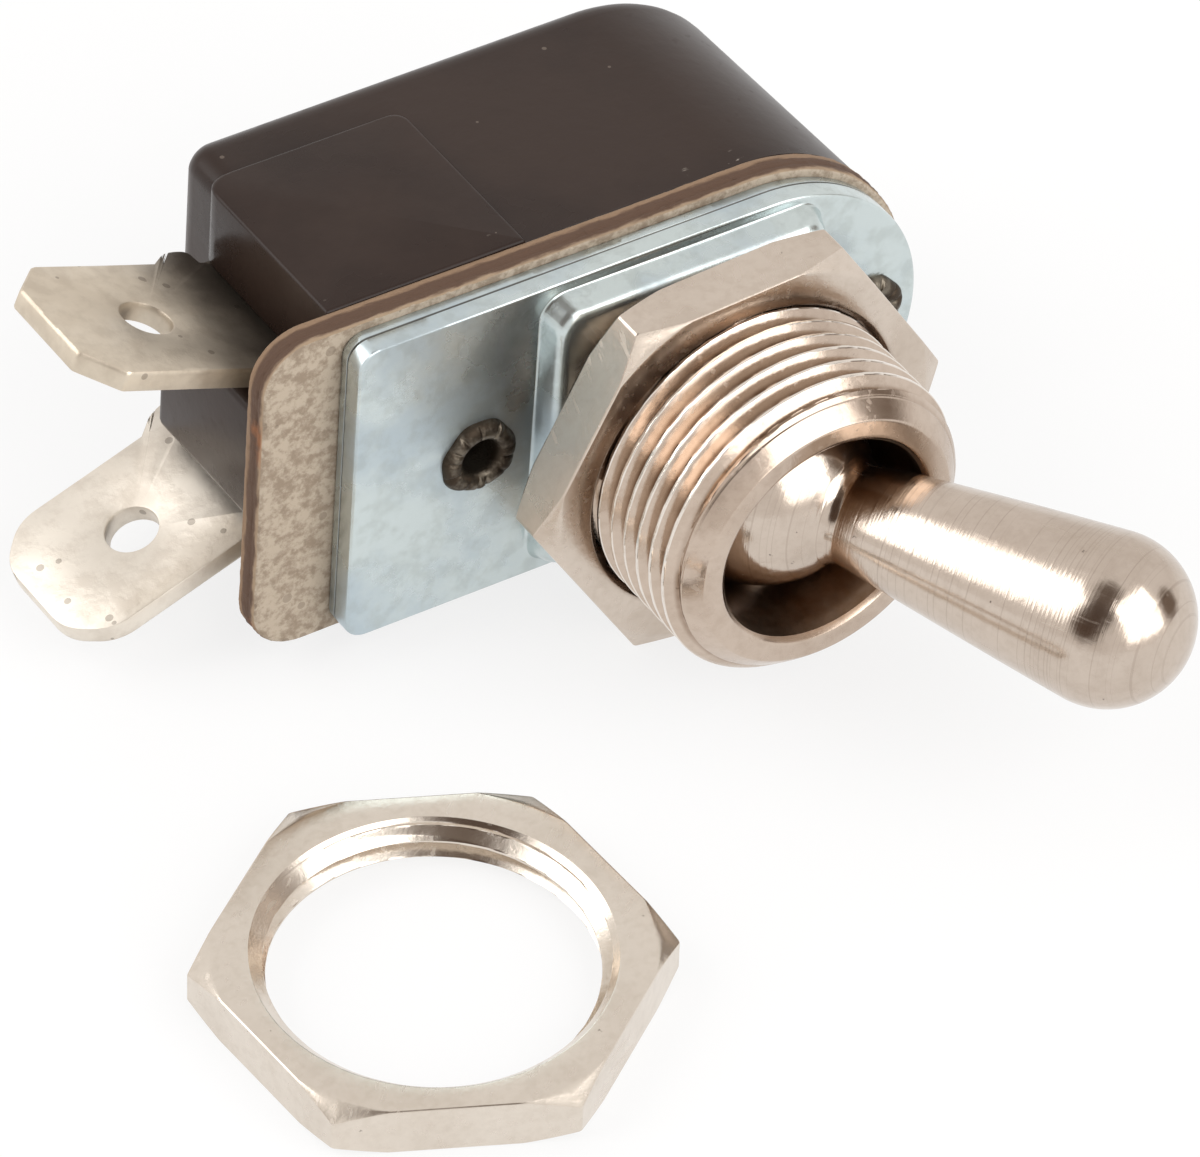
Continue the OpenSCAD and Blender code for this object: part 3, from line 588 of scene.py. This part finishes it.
def eyelet(name, side, seed):
    """Rolled front rim with cracks, tube, and the flared back rim in the counterbore."""
    split = cracks(rim_angles, 13, seed)
    roll = np.radians(np.linspace(180, 0, 13))
    mid, half = (rim_r + tube_hole) / 2, (rim_r - tube_hole) / 2
    wobble = 1 + 0.03 * np.sin(3 * rim_angles + seed) + 0.02 * np.sin(7 * rim_angles)
    front = [((mid + half * math.cos(a)) * (wobble if math.cos(a) > 0 else 1),
              plate_y - half * math.sin(a) * (1 - 0.42 * split * np.clip(math.cos(a) + 0.75, 0, 1)))
             for a in roll]
    back_plane = back_y - 0.7
    back = [(mid + half * math.cos(a), back_plane + half * math.sin(a)) for a in roll[::-1]]
    rows = front + [(eyelet_r, plate_y + 0.02), (eyelet_r, back_plane - 0.02)] + back
    rim_rings = about_y(rim_angles, [r for r, _ in rows], [y for _, y in rows])
    return shade(move(solid(name, rim_rings, closed=True),
                      Matrix.Translation((side * eyelet_x, 0, 0))), 45)


eyelets = {"eyelet_left": eyelet("rolled_eyelet_left", -1, 3),
           "eyelet_right": eyelet("rolled_eyelet_right", 1, 8)}

# %% [markdown]
# ## The lever
# The lever is turned from one bar: a round tip, a slim cone, a ball, and a hollow tail that holds
# the spring. Its profile is a chain of arcs and lines along its own axis, spun once, then leaned to
# the position that it rests in.

# %% Lever
ball_r, neck, tip_at, tip_r = 3.78, 1.8, 13.32, 3.057
neck_at, collar_r = 3.75, 2.03
taper = math.asin((tip_r - neck) / (tip_at - 3.5))
shank_end, shank_r = tip_at - tip_r * math.sin(taper), tip_r * math.cos(taper)
tail_r, tail_bore, tail_long, bore_end = 1.5, 1.1, 7.6, 1.7
tail_turn = math.asin(tail_r / ball_r)
ball_arc = np.linspace(math.pi - tail_turn, math.asin(collar_r / ball_r), 60)
tip_arc = np.linspace(math.pi / 2 + taper, 0.02, 50)
collar_at = ball_r * math.cos(ball_arc[-1])
along = np.linspace(0, 1, 60)[:, None]
start = np.array([neck + 0.045, neck_at])
shank = start + (np.array([shank_r, shank_end]) - start) * along
shank[:, :1] += 0.03 * 4 * along * (1 - along)
profile = np.vstack([
    [(tail_bore, -bore_end), (tail_bore, -tail_long + 0.1), (tail_bore + 0.1, -tail_long),
     (tail_r - 0.12, -tail_long), (tail_r, -tail_long + 0.12)],
    np.stack([ball_r * np.sin(ball_arc), ball_r * np.cos(ball_arc)], -1),
    soften([(collar_r - 0.01, collar_at + 0.02, 0), (collar_r - 0.12, collar_at + 0.2, 0.12),
            (neck + 0.04, neck_at - 0.08, 0)], steps=8, closed=False),
    shank[:-1],
    np.stack([tip_r * np.sin(tip_arc), tip_at + tip_r * np.cos(tip_arc)], -1),
])
spin = np.radians(np.arange(-180, 180, 2.5))
lever = solid("bat_lever", about_y(spin, profile[:, 0], -profile[:, 1]))
pin_hole = move(rod(0.75, -5, 5), Matrix.Rotation(math.radians(90), 4, "X"))
combine(lever, [pin_hole])
lean = Matrix.Translation((0, pivot_y, 0)) @ Matrix.Rotation(lever_tilt, 4, "Z")
shade(move(lever, lean), 40)
print("lever faces:", len(lever.data.polygons))

# %% [markdown]
# ## Painting with nodes
# Each finish is a Principled shader whose colour, roughness and normal come from patterns on the
# object's own coordinates. Small helpers keep the node code short, and effects that several
# finishes share are built once as node groups.


# %% Node helpers
def rgb(red, green, blue):
    """Colour from 0-255 screen values, in linear light: ((c + 0.055) / 1.055)^2.4, or c / 12.92."""
    c = np.array([red, green, blue]) / 255
    linear = np.where(c > 0.04045, ((c + 0.055) / 1.055) ** 2.4, c / 12.92)
    return (*linear.tolist(), 1.0)


def add(tree, kind, inputs=None, **settings):
    """One node: settings are its own properties; inputs are values, or outputs to link."""
    node = tree.nodes.new("ShaderNode" + kind)
    for key, value in settings.items():
        setattr(node, key, value)
    for key, value in (inputs or {}).items():
        if isinstance(value, bpy.types.NodeSocket):
            tree.links.new(value, node.inputs[key])
        else:
            node.inputs[key].default_value = value
    return node


def calc(tree, operation, a, b=0.0, clamp=False):
    """Arithmetic on two values."""
    return add(tree, "Math", {0: a, 1: b}, operation=operation, use_clamp=clamp).outputs[0]


def times(tree, a, b, **options):
    """Product of two values."""
    return calc(tree, "MULTIPLY", a, b, **options)


def plus(tree, a, b, **options):
    """Sum of two values."""
    return calc(tree, "ADD", a, b, **options)


def mix(tree, share, first, second):
    """Colour between two colours."""
    node = add(tree, "Mix", {0: share, 6: first, 7: second}, data_type="RGBA")
    return node.outputs[2]


def span(tree, value, low, high, to_low=0.0, to_high=1.0, smooth=True):
    """Value carried from one range to another, held at the ends."""
    kind = "SMOOTHSTEP" if smooth else "LINEAR"
    inputs = {"Value": value, "From Min": low, "From Max": high, "To Min": to_low, "To Max": to_high}
    return add(tree, "MapRange", inputs, interpolation_type=kind).outputs[0]


def noise(tree, vector, per_mm, detail=3.0, rough=0.55):
    """Cloudy pattern with that many waves in a millimetre."""
    inputs = {"Vector": vector, "Scale": per_mm * 1000, "Detail": detail, "Roughness": rough}
    return add(tree, "TexNoise", inputs).outputs[0]


def turned_to(tree, vector, angles=(0, 0, 0), stretch=(1, 1, 1), shift=(0, 0, 0)):
    """Coordinates moved, turned and stretched. The numbers of the turn are degrees, of the shift mm."""
    inputs = {"Vector": vector, "Location": [s * MM for s in shift], "Scale": stretch,
              "Rotation": [math.radians(a) for a in angles]}
    return add(tree, "Mapping", inputs).outputs[0]


# %% Shared effects
def group(name, inputs, outputs, build):
    """A node group with named sockets; build(tree, entry, exit) fills it."""
    tree = bpy.data.node_groups.new(name, "ShaderNodeTree")
    for socket, (kind, value) in inputs.items():
        made = tree.interface.new_socket(socket, in_out="INPUT", socket_type="NodeSocket" + kind)
        if value is not None:
            made.default_value = value
    for socket, kind in outputs.items():
        tree.interface.new_socket(socket, in_out="OUTPUT", socket_type="NodeSocket" + kind)
    entry, leave = tree.nodes.new("NodeGroupInput"), tree.nodes.new("NodeGroupOutput")
    build(tree, entry.outputs, lambda socket, value: tree.links.new(value, leave.inputs[socket]))
    return tree


def build_specks(tree, entry, put):
    """Small dots: cells of a Voronoi pattern, of which a random share is shown."""
    inputs = {"Vector": entry["Vector"], "Scale": entry["Scale"], "Randomness": 1.0}
    cells = add(tree, "TexVoronoi", inputs)
    pick = add(tree, "SeparateColor", {0: cells.outputs["Color"]}).outputs[0]
    near = calc(tree, "LESS_THAN", cells.outputs["Distance"], entry["Size"])
    chosen = calc(tree, "LESS_THAN", pick, entry["Share"])
    put("Mask", times(tree, near, chosen))


def build_scratches(tree, entry, put):
    """Fine lines: a noise squeezed so hard across one axis that only thin streaks are left."""
    fine = add(tree, "Mapping", {"Vector": entry["Vector"], "Scale": (14, 0.5, 14)}).outputs[0]
    lines = add(tree, "TexNoise", {"Vector": fine, "Scale": entry["Scale"], "Detail": 2.0}).outputs[0]
    put("Height", lines)
    put("Mask", span(tree, lines, 0.6, 0.72))


def build_mottle(tree, entry, put):
    """Cloudy patches between two limits."""
    inputs = {"Vector": entry["Vector"], "Scale": entry["Scale"], "Detail": 5.0, "Roughness": 0.6}
    cloud = add(tree, "TexNoise", inputs).outputs[0]
    put("Mask", span(tree, cloud, entry["Low"], entry["High"]))


vector_in = ("Vector", None)
specks = group("specks", {"Vector": vector_in, "Scale": ("Float", 900.0), "Size": ("Float", 0.2),
                          "Share": ("Float", 0.3)}, {"Mask": "Float"}, build_specks)
scratches = group("scratches", {"Vector": vector_in, "Scale": ("Float", 200.0)},
                  {"Height": "Float", "Mask": "Float"}, build_scratches)
mottle = group("mottle", {"Vector": vector_in, "Scale": ("Float", 300.0), "Low": ("Float", 0.4),
                          "High": ("Float", 0.6)}, {"Mask": "Float"}, build_mottle)


def use(tree, effect, **inputs):
    """Places a shared effect in a material; the inputs are the group's own sockets."""
    node = tree.nodes.new("ShaderNodeGroup")
    node.node_tree = effect
    for key, value in inputs.items():
        if isinstance(value, bpy.types.NodeSocket):
            tree.links.new(value, node.inputs[key])
        else:
            node.inputs[key].default_value = value
    return node.outputs


def finish(name, paint, **constants):
    """A material: paint(tree, place) returns the sockets that vary; the constants go straight on the
    shader's own sockets. A height is turned into a normal by a Bump node."""
    material = bpy.data.materials.new(name + "_finish")
    material["slot"] = name
    material.use_nodes = True
    tree = material.node_tree
    shader = tree.nodes["Principled BSDF"]
    place = add(tree, "TexCoord").outputs["Object"]
    varied = paint(tree, place)
    height = varied.pop("height", None)
    if height is not None:
        socket, strength = height
        bump = add(tree, "Bump", {"Height": socket, "Strength": 1.0, "Distance": strength * MM})
        tree.links.new(bump.outputs[0], shader.inputs["Normal"])
    for key, socket in varied.items():
        tree.links.new(socket, shader.inputs[key])
    for key, value in constants.items():
        shader.inputs[key.replace("_", " ")].default_value = value
    return material


# %% [markdown]
# ## Nickel
# Bright nickel over brass is a warm grey mirror that has gone satin. What makes it look real is what
# happens on it: cloudy tarnish, fine scratches from handling and pits. Painted brown shade sits in the
# thread and the bore, a painted highlight on the thread's crests, and a painted dark reflection round the
# nut's hole.


# %% Nickel finishes
def radius_from_axis(tree, place):
    """Distance from the barrel's axis: sqrt(x^2 + z^2), in millimetres."""
    axes = add(tree, "SeparateXYZ", {0: place}).outputs
    square = plus(tree, times(tree, axes[0], axes[0]), times(tree, axes[2], axes[2]))
    return times(tree, calc(tree, "SQRT", square), 1000.0)


def nickel(tree, place, base, dark, rough=(0.15, 0.24), lines=(0, 0, 0)):
    """Colour, roughness and height that all nickel parts share."""
    cloud = use(tree, mottle, Vector=place, Scale=260.0, Low=0.38, High=0.66)["Mask"]
    fine = use(tree, mottle, Vector=place, Scale=2600.0, Low=0.4, High=0.7)["Mask"]
    streak = use(tree, scratches, Vector=turned_to(tree, place, lines), Scale=240.0)
    jitter = add(tree, "TexNoise", {"Vector": place, "Scale": 9000.0}).outputs[1]
    ragged = add(tree, "Mix", {0: 0.0004, 4: place, 5: jitter}, data_type="VECTOR").outputs[1]
    pits = use(tree, specks, Vector=ragged, Scale=1500.0, Size=0.055, Share=0.16)["Mask"]
    share = plus(tree, times(tree, cloud, 0.3), times(tree, fine, 0.2), clamp=True)
    colour = mix(tree, share, base, dark)
    colour = mix(tree, times(tree, pits, 0.75), colour, rgb(60, 46, 38))
    gloss = plus(tree, span(tree, cloud, 0, 1, *rough), times(tree, streak["Mask"], 0.12))
    height = plus(tree, times(tree, streak["Height"], 0.5), times(tree, fine, 0.5))
    return colour, gloss, height


def paint_barrel(tree, place):
    """Nickel with painted brown shade in the thread's valleys and in the bore, and a painted highlight on the
    thread's crests.
    """
    colour, rough, height = nickel(tree, place, rgb(204, 187, 172), rgb(168, 148, 130))
    radius = radius_from_axis(tree, place)
    depth = add(tree, "SeparateXYZ", {0: place}).outputs[1]
    in_thread = span(tree, depth, -0.0042, -0.0038)
    patchy = span(tree, noise(tree, place, 0.45), 0.4, 0.62, 0.35, 1.0)
    # painted shade: the thread's valleys darken to brown, in patches
    valley_shade = times(tree, times(tree, span(tree, radius, 5.68, 5.5), in_thread), patchy)
    colour = mix(tree, times(tree, valley_shade, 0.8), colour, rgb(120, 92, 68))
    # painted highlight: a near-white line along the thread's crests
    crest = times(tree, span(tree, radius, 5.9, 5.93), in_thread)
    colour = mix(tree, times(tree, crest, 0.7), colour, rgb(246, 240, 232))
    # painted shade: the bore darkens to brown, more strongly in some clouds than in others
    bore = span(tree, radius, 4.2, 4.08)
    bore_shade_mottle = use(tree, mottle, Vector=place, Scale=420.0, Low=0.45, High=0.6)["Mask"]
    deep = times(tree, bore, plus(tree, 0.35, times(tree, bore_shade_mottle, 0.35)))
    colour = mix(tree, deep, colour, rgb(150, 118, 90))
    rough = plus(tree, rough, times(tree, bore, 0.15))
    return {"Base Color": colour, "Roughness": rough, "height": (height, 0.003)}


def paint_nut(tree, place):
    """Satin nickel with cutting marks across its flats, and a painted dark reflection, brown, round the hole.
    """
    colour, rough, height = nickel(tree, place, rgb(214, 201, 188), rgb(184, 168, 152), (0.22, 0.3),
                                   (0, 35, 25))
    radius = radius_from_axis(tree, place)
    # painted reflection: the face darkens to brown towards the hole
    colour = mix(tree, times(tree, span(tree, radius, 6.35, 6.0), 0.8), colour, rgb(96, 70, 52))
    return {"Base Color": colour, "Roughness": rough, "height": (height, 0.005)}


def paint_loose_nut(tree, place):
    """Satin nickel, lighter than the other nut, with scratches another way."""
    colour, rough, height = nickel(tree, place, rgb(226, 216, 204), rgb(200, 187, 172), (0.18, 0.26),
                                   (20, 0, 50))
    return {"Base Color": colour, "Roughness": rough, "height": (height, 0.004)}


def paint_lever(tree, place):
    """Polished nickel with turning rings round the lever's axis and long faint lines."""
    along = turned_to(tree, place, (0, 0, -math.degrees(lever_tilt)))
    colour, rough, height = nickel(tree, along, rgb(206, 192, 179), rgb(176, 160, 145), (0.14, 0.2))
    axis = add(tree, "SeparateXYZ", {0: along}).outputs[1]
    ring = add(tree, "TexNoise", {"W": times(tree, axis, 9000.0), "Scale": 1.0, "Detail": 3.0},
               noise_dimensions="1D").outputs[0]
    cut = span(tree, ring, 0.62, 0.66)
    colour = mix(tree, times(tree, cut, 0.25), colour, rgb(150, 134, 120))
    height = plus(tree, height, times(tree, ring, 1.2))
    return {"Base Color": colour, "Roughness": rough, "height": (height, 0.003)}


barrel_nickel = finish("barrel_nickel", paint_barrel, Metallic=1.0)
nut_nickel = finish("nut_nickel", paint_nut, Metallic=1.0)
loose_nut_nickel = finish("loose_nut_nickel", paint_loose_nut, Metallic=1.0)
lever_nickel = finish("lever_nickel", paint_lever, Metallic=1.0)

# %% [markdown]
# ## Zinc, fibre, moulding and tin
# The frame's zinc has a cold blue passivation that clouds and darkens in places. The fibre is beige
# paper on its face and dark brown at its cut edge. The moulding is a satin black with a brown cast.
# The tabs carry dull tin and darken towards the case: the upper one was smoked there, and both get painted
# shade.


# %% Zinc
def paint_zinc(tree, place):
    """Cold zinc: patches of blue, fine mottling, radial wrinkles at the round end and a dark line
    along the cut edge."""
    axes = add(tree, "SeparateXYZ", {0: place}).outputs
    cloud = use(tree, mottle, Vector=place, Scale=170.0, Low=0.4, High=0.62)["Mask"]
    fine = use(tree, mottle, Vector=place, Scale=1300.0, Low=0.42, High=0.66)["Mask"]
    colour = mix(tree, times(tree, cloud, 0.55), rgb(206, 216, 216), rgb(172, 188, 200))
    colour = mix(tree, times(tree, fine, 0.25), colour, rgb(158, 164, 158))
    line = times(tree, span(tree, axes[1], 0.00558, 0.00561), span(tree, axes[1], 0.0057, 0.00567))
    colour = mix(tree, times(tree, line, 0.85), colour, rgb(66, 58, 50))
    rust = use(tree, specks, Vector=place, Scale=420.0, Size=0.1, Share=0.1)["Mask"]
    colour = mix(tree, times(tree, rust, 0.7), colour, rgb(150, 96, 52))
    centre = turned_to(tree, place, shift=(-round_x, 0, 0))
    ray = add(tree, "SeparateXYZ", {0: centre}).outputs
    turn = calc(tree, "ARCTAN2", ray[2], ray[0])
    folds = add(tree, "TexNoise", {"W": times(tree, turn, 14.0), "Scale": 1.0, "Detail": 2.0},
                noise_dimensions="1D").outputs[0]
    at_end = span(tree, axes[0], 0.0068, 0.0085)
    height = plus(tree, times(tree, fine, 0.25), times(tree, times(tree, folds, at_end), 2.2))
    return {"Base Color": colour, "Roughness": span(tree, cloud, 0, 1, 0.24, 0.38), "height": (height, 0.012)}


zinc_plate = finish("zinc_plate", paint_zinc, Metallic=0.9)


# %% Fibre
def paint_fibre(tree, place):
    """Beige face with dark fibres, and a cut edge of brown and lighter bands."""
    normal = add(tree, "SeparateXYZ", {0: add(tree, "TexCoord").outputs["Normal"]}).outputs[1]
    face = span(tree, calc(tree, "ABSOLUTE", normal), 0.55, 0.85)
    axes = add(tree, "SeparateXYZ", {0: place}).outputs
    grain = noise(tree, turned_to(tree, place, stretch=(1, 1, 1)), 2.2, 6.0, 0.7)
    dots = use(tree, specks, Vector=place, Scale=1500.0, Size=0.3, Share=0.3)["Mask"]
    beige = mix(tree, span(tree, grain, 0.4, 0.62), rgb(182, 168, 150), rgb(146, 130, 112))
    beige = mix(tree, times(tree, dots, 0.4), beige, rgb(104, 88, 72))
    wave = noise(tree, turned_to(tree, place, stretch=(1, 5, 1)), 0.9, 4.0)
    depth = plus(tree, times(tree, axes[1], 1000.0), times(tree, wave, 0.35))
    band = span(tree, depth, 6.32, 6.45)
    light = span(tree, depth, 6.95, 7.1)
    brown = mix(tree, band, rgb(158, 136, 112), rgb(86, 62, 46))
    brown = mix(tree, light, brown, rgb(138, 112, 88))
    rust = use(tree, mottle, Vector=place, Scale=280.0, Low=0.6, High=0.7)["Mask"]
    brown = mix(tree, times(tree, rust, 0.5), brown, rgb(168, 104, 56))
    height = plus(tree, grain, times(tree, noise(tree, turned_to(tree, place, stretch=(1, 6, 1)), 2.0), 0.8))
    return {"Base Color": mix(tree, face, brown, beige), "height": (height, 0.05)}


fibre_brown = finish("fibre_brown", paint_fibre, Roughness=0.72)


# %% Moulding
def paint_case(tree, place):
    """Near-black moulding: a warm cast, faint clouds, dust flecks, and scuffs beside the gasket."""
    axes = add(tree, "SeparateXYZ", {0: place}).outputs
    cloud = use(tree, mottle, Vector=place, Scale=120.0, Low=0.35, High=0.65)["Mask"]
    colour = mix(tree, cloud, rgb(40, 28, 23), rgb(50, 37, 31))
    dust = use(tree, specks, Vector=place, Scale=700.0, Size=0.06, Share=0.25)["Mask"]
    colour = mix(tree, times(tree, dust, 0.5), colour, rgb(120, 108, 98))
    scuff = use(tree, mottle, Vector=turned_to(tree, place, stretch=(1, 2.5, 1)), Scale=900.0, Low=0.66,
                High=0.72)["Mask"]
    near = span(tree, axes[1], 0.0082, 0.0071)
    colour = mix(tree, times(tree, times(tree, scuff, near), 0.8), colour, rgb(190, 180, 168))
    streak = use(tree, scratches, Vector=turned_to(tree, place, (0, 20, 60)), Scale=150.0)
    rough = plus(tree, span(tree, cloud, 0, 1, 0.26, 0.34), times(tree, streak["Mask"], 0.06))
    height = noise(tree, place, 1.4, 4.0)
    return {"Base Color": colour, "Roughness": rough, "height": (height, 0.01)}


case_black = finish("case_black", paint_case, Specular_IOR_Level=0.22)


# %% Tin
def paint_tab(tree, place, base, dark, soot_and_shade):
    """Dull tin, speckled; from the tab's middle to the case it darkens, partly soot and partly painted shade.
    """
    axes = add(tree, "SeparateXYZ", {0: place}).outputs
    grain = use(tree, mottle, Vector=place, Scale=1100.0, Low=0.4, High=0.66)["Mask"]
    cloud = use(tree, mottle, Vector=place, Scale=260.0, Low=0.4, High=0.64)["Mask"]
    dots = use(tree, specks, Vector=place, Scale=1500.0, Size=0.22, Share=0.16)["Mask"]
    colour = mix(tree, times(tree, grain, 0.35), base, dark)
    colour = mix(tree, times(tree, cloud, 0.25), colour, dark)
    colour = mix(tree, times(tree, dots, 0.45), colour, rgb(96, 82, 70))
    # soot and painted shade: darker from the tab's middle towards the case, with a ragged edge
    blur = plus(tree, times(tree, axes[0], 1000.0), times(tree, noise(tree, place, 0.5, 5.0), 3.0))
    soot_and_shade_mask = times(tree, span(tree, blur, -16.6, -11.4), soot_and_shade)
    colour = mix(tree, soot_and_shade_mask, colour, rgb(52, 42, 36))
    height = plus(tree, grain, dots)
    return {"Base Color": colour, "Roughness": span(tree, cloud, 0, 1, 0.36, 0.5), "height": (height, 0.006)}


tab_upper_tin = finish("tab_upper_tin", lambda tree, place: paint_tab(
    tree, place, rgb(214, 202, 184), rgb(176, 162, 144), 0.85), Metallic=0.75)
tab_lower_tin = finish("tab_lower_tin", lambda tree, place: paint_tab(
    tree, place, rgb(232, 224, 212), rgb(196, 184, 170), 0.2), Metallic=0.75)


# %% Eyelet metal and the inner parts
def paint_eyelet(tree, place):
    """Dark tarnished brass-grey with lighter worn patches."""
    cloud = use(tree, mottle, Vector=place, Scale=900.0, Low=0.4, High=0.6)["Mask"]
    colour = mix(tree, cloud, rgb(120, 112, 100), rgb(70, 60, 50))
    return {"Base Color": colour, "Roughness": span(tree, cloud, 0, 1, 0.35, 0.55), "height": (cloud, 0.02)}


def plain(base, dark, scale, rough):
    """A paint with one cloudy change between two colours and a little relief."""
    def paint(tree, place):
        cloud = use(tree, mottle, Vector=place, Scale=scale, Low=0.4, High=0.62)["Mask"]
        gloss = span(tree, cloud, 0, 1, *rough)
        return {"Base Color": mix(tree, cloud, base, dark), "Roughness": gloss, "height": (cloud, 0.004)}
    return paint


eyelet_metal = finish("eyelet_metal", paint_eyelet, Metallic=0.9)
steel = finish("steel", plain(rgb(186, 190, 194), rgb(140, 140, 138), 700.0, (0.22, 0.4)), Metallic=1.0)
plunger_plastic = finish("plunger_plastic", plain(rgb(234, 226, 206), rgb(212, 200, 174), 500.0, (0.36, 0.5)))
bridge_copper = finish("bridge_copper", plain(rgb(190, 124, 78), rgb(140, 84, 52), 420.0, (0.26, 0.45)),
                       Metallic=1.0)
contact_silver = finish("contact_silver", plain(rgb(224, 222, 218), rgb(170, 164, 156), 900.0, (0.2, 0.4)),
                        Metallic=1.0)

# %% [markdown]
# ## Putting the pieces on their bodies
# Each new piece takes the place of its solid and rides on the body that moves it. The inner parts
# keep their solids and only get a finish.

# %% Ride, replace and paint
dressed = [
    (barrel, "bushing", "base", barrel_nickel), (back_nut, "back_nut", "base", nut_nickel),
    (loose_nut, "front_nut", "base", loose_nut_nickel), (plate, "frame_plate", "base", zinc_plate),
    (gasket, "gasket", "base", fibre_brown), (case, "housing", "base", case_black),
    (tab_upper, "terminal_upper", "base", tab_upper_tin),
    (tab_lower, "terminal_lower", "base", tab_lower_tin),
    (eyelets["eyelet_left"], "eyelet_left", "base", eyelet_metal),
    (eyelets["eyelet_right"], "eyelet_right", "base", eyelet_metal), (lever, "lever", "lever", lever_nickel),
]
for obj, node, body, material in dressed:
    obj.data.materials.clear()
    obj.data.materials.append(material)
    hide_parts(node)
    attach(obj, body)
inner = {"lever_pin": steel, "plunger": plunger_plastic, "plunger_spring": steel,
         "contact_bridge": bridge_copper,
         "rocker_pin": steel, "bridge_contact_upper": contact_silver, "bridge_contact_lower": contact_silver,
         "fixed_contact_upper": contact_silver, "fixed_contact_lower": contact_silver}
for node, material in inner.items():
    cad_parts[node].data.materials.clear()
    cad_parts[node].data.materials.append(material)
print("dressed:", len(dressed), "inner parts painted:", len(inner))

# %% [markdown]
# ## Floor, light and camera
# The switch lies on its side on a white table, so the floor is tilted to touch the nut's flat and
# the gasket. White surroundings and two softboxes light it softly. Polished metal only shows its
# form when it has something dark to reflect as well, so the surroundings get dark zones on the side
# where the camera stands. The camera itself sees plain white.

# %% Floor
angles = np.radians(np.arange(-180, 180, 10))
floor_r, floor_thick = 900.0, 20.0
floor_rings = about_y(angles, [floor_r, floor_r], [0.0, floor_thick])
floor = solid("floor", floor_rings)
move(floor, rest @ Matrix.Rotation(math.radians(-90), 4, "X"))
floor_white = bpy.data.materials.new("floor_white")
floor_white.use_nodes = True
tree = floor_white.node_tree
tree.nodes.clear()
path = add(tree, "LightPath").outputs
seen = calc(tree, "MAXIMUM", path["Is Glossy Ray"], path["Is Transmission Ray"])
seen = calc(tree, "MAXIMUM", path["Is Camera Ray"], seen)
lit = add(tree, "BsdfDiffuse", {"Color": (0.86, 0.86, 0.86, 1)}).outputs[0]
glow = add(tree, "Emission", {"Color": (1, 1, 1, 1), "Strength": 1.0}).outputs[0]
blend = add(tree, "MixShader", {0: times(tree, seen, 0.8), 1: lit, 2: glow}).outputs[0]
add(tree, "OutputMaterial", {"Surface": blend})
floor.data.materials.append(floor_white)

# %% World and lamps
scene = bpy.context.scene
scene.view_settings.view_transform = "Standard"
world = bpy.data.worlds.new("studio")
scene.world = world
world.use_nodes = True
tree = world.node_tree
tree.nodes.clear()
way = add(tree, "TexCoord").outputs["Generated"]


def towards(azimuth, height):
    """Unit vector (cos a cos h, sin a cos h, sin h) for an azimuth a from X towards Y and a height h
    above the table, both in degrees."""
    a, h = math.radians(azimuth), math.radians(height)
    return Vector((math.cos(a) * math.cos(h), math.sin(a) * math.cos(h), math.sin(h)))


def zone(tree, way, azimuth, height, inner, outer):
    """Round patch of the surroundings: 1 within the inner angle of its middle, 0 beyond the outer
    one, from the cosine, which is the dot product of the two directions."""
    inputs = {0: way, 1: towards(azimuth, height)}
    near = add(tree, "VectorMath", inputs, operation="DOT_PRODUCT").outputs["Value"]
    return span(tree, near, math.cos(math.radians(outer)), math.cos(math.radians(inner)))


surround, surround_level = rgb(249, 246, 243), 0.95
# azimuth, height, inner and outer angle in degrees, and colour
dark_zones = [(204, 24, 13, 25, rgb(92, 74, 62)), (216, 46, 13, 27, rgb(88, 72, 62)),
              (226, 72, 9, 21, rgb(112, 98, 88)), (333, 17, 9, 18, rgb(128, 112, 100))]
for azimuth, height, inner, outer, colour in dark_zones:
    surround = mix(tree, zone(tree, way, azimuth, height, inner, outer), surround, colour)
path = add(tree, "LightPath").outputs
inside = add(tree, "Background", {"Color": surround, "Strength": surround_level}).outputs[0]
white = add(tree, "Background", {"Color": (1, 1, 1, 1), "Strength": 1.0}).outputs[0]
sky = add(tree, "MixShader", {0: path["Is Camera Ray"], 1: inside, 2: white}).outputs[0]
add(tree, "OutputWorld", {"Surface": sky})


def softbox(name, azimuth, height, distance, size, radiance):
    """Square area lamp that faces the switch. Its power is radiance * pi * size^2."""
    lamp = bpy.data.lights.new(name, "AREA")
    lamp.shape, lamp.size = "SQUARE", size * MM
    lamp.energy = radiance * math.pi * (size * MM) ** 2
    obj = bpy.data.objects.new(name, lamp)
    obj.location = towards(azimuth, height) * distance * MM
    obj.rotation_euler = towards(azimuth, height).to_track_quat("Z", "Y").to_euler()
    scene.collection.objects.link(obj)
    return obj


softbox("back_left_box", 150, 34, 460, 400, 2.2)
softbox("front_box", 286, 34, 460, 450, 2.2)

# %% Camera
aim = Vector((-4.252, 2.384, -5.222))
right = Vector((0.83919007, -0.54114488, 0.05405775))
up = Vector((0.32076641, 0.57278869, 0.75433549))
behind = Vector((-0.43916846, -0.61569094, 0.65425968))
lens = bpy.data.cameras.new("camera")
focal_length, distance = 358.579, 408.865
lens.lens, lens.sensor_width = focal_length, 36.0
lens.clip_start, lens.clip_end = 0.01, 20.0
camera = bpy.data.objects.new("camera", lens)
turn = Matrix((right, up, behind)).transposed().to_4x4()
camera.matrix_world = Matrix.Translation((aim + distance * behind) * MM) @ turn
scene.collection.objects.link(camera)
scene.camera = camera

# %% The end
bpy.context.view_layer.update()
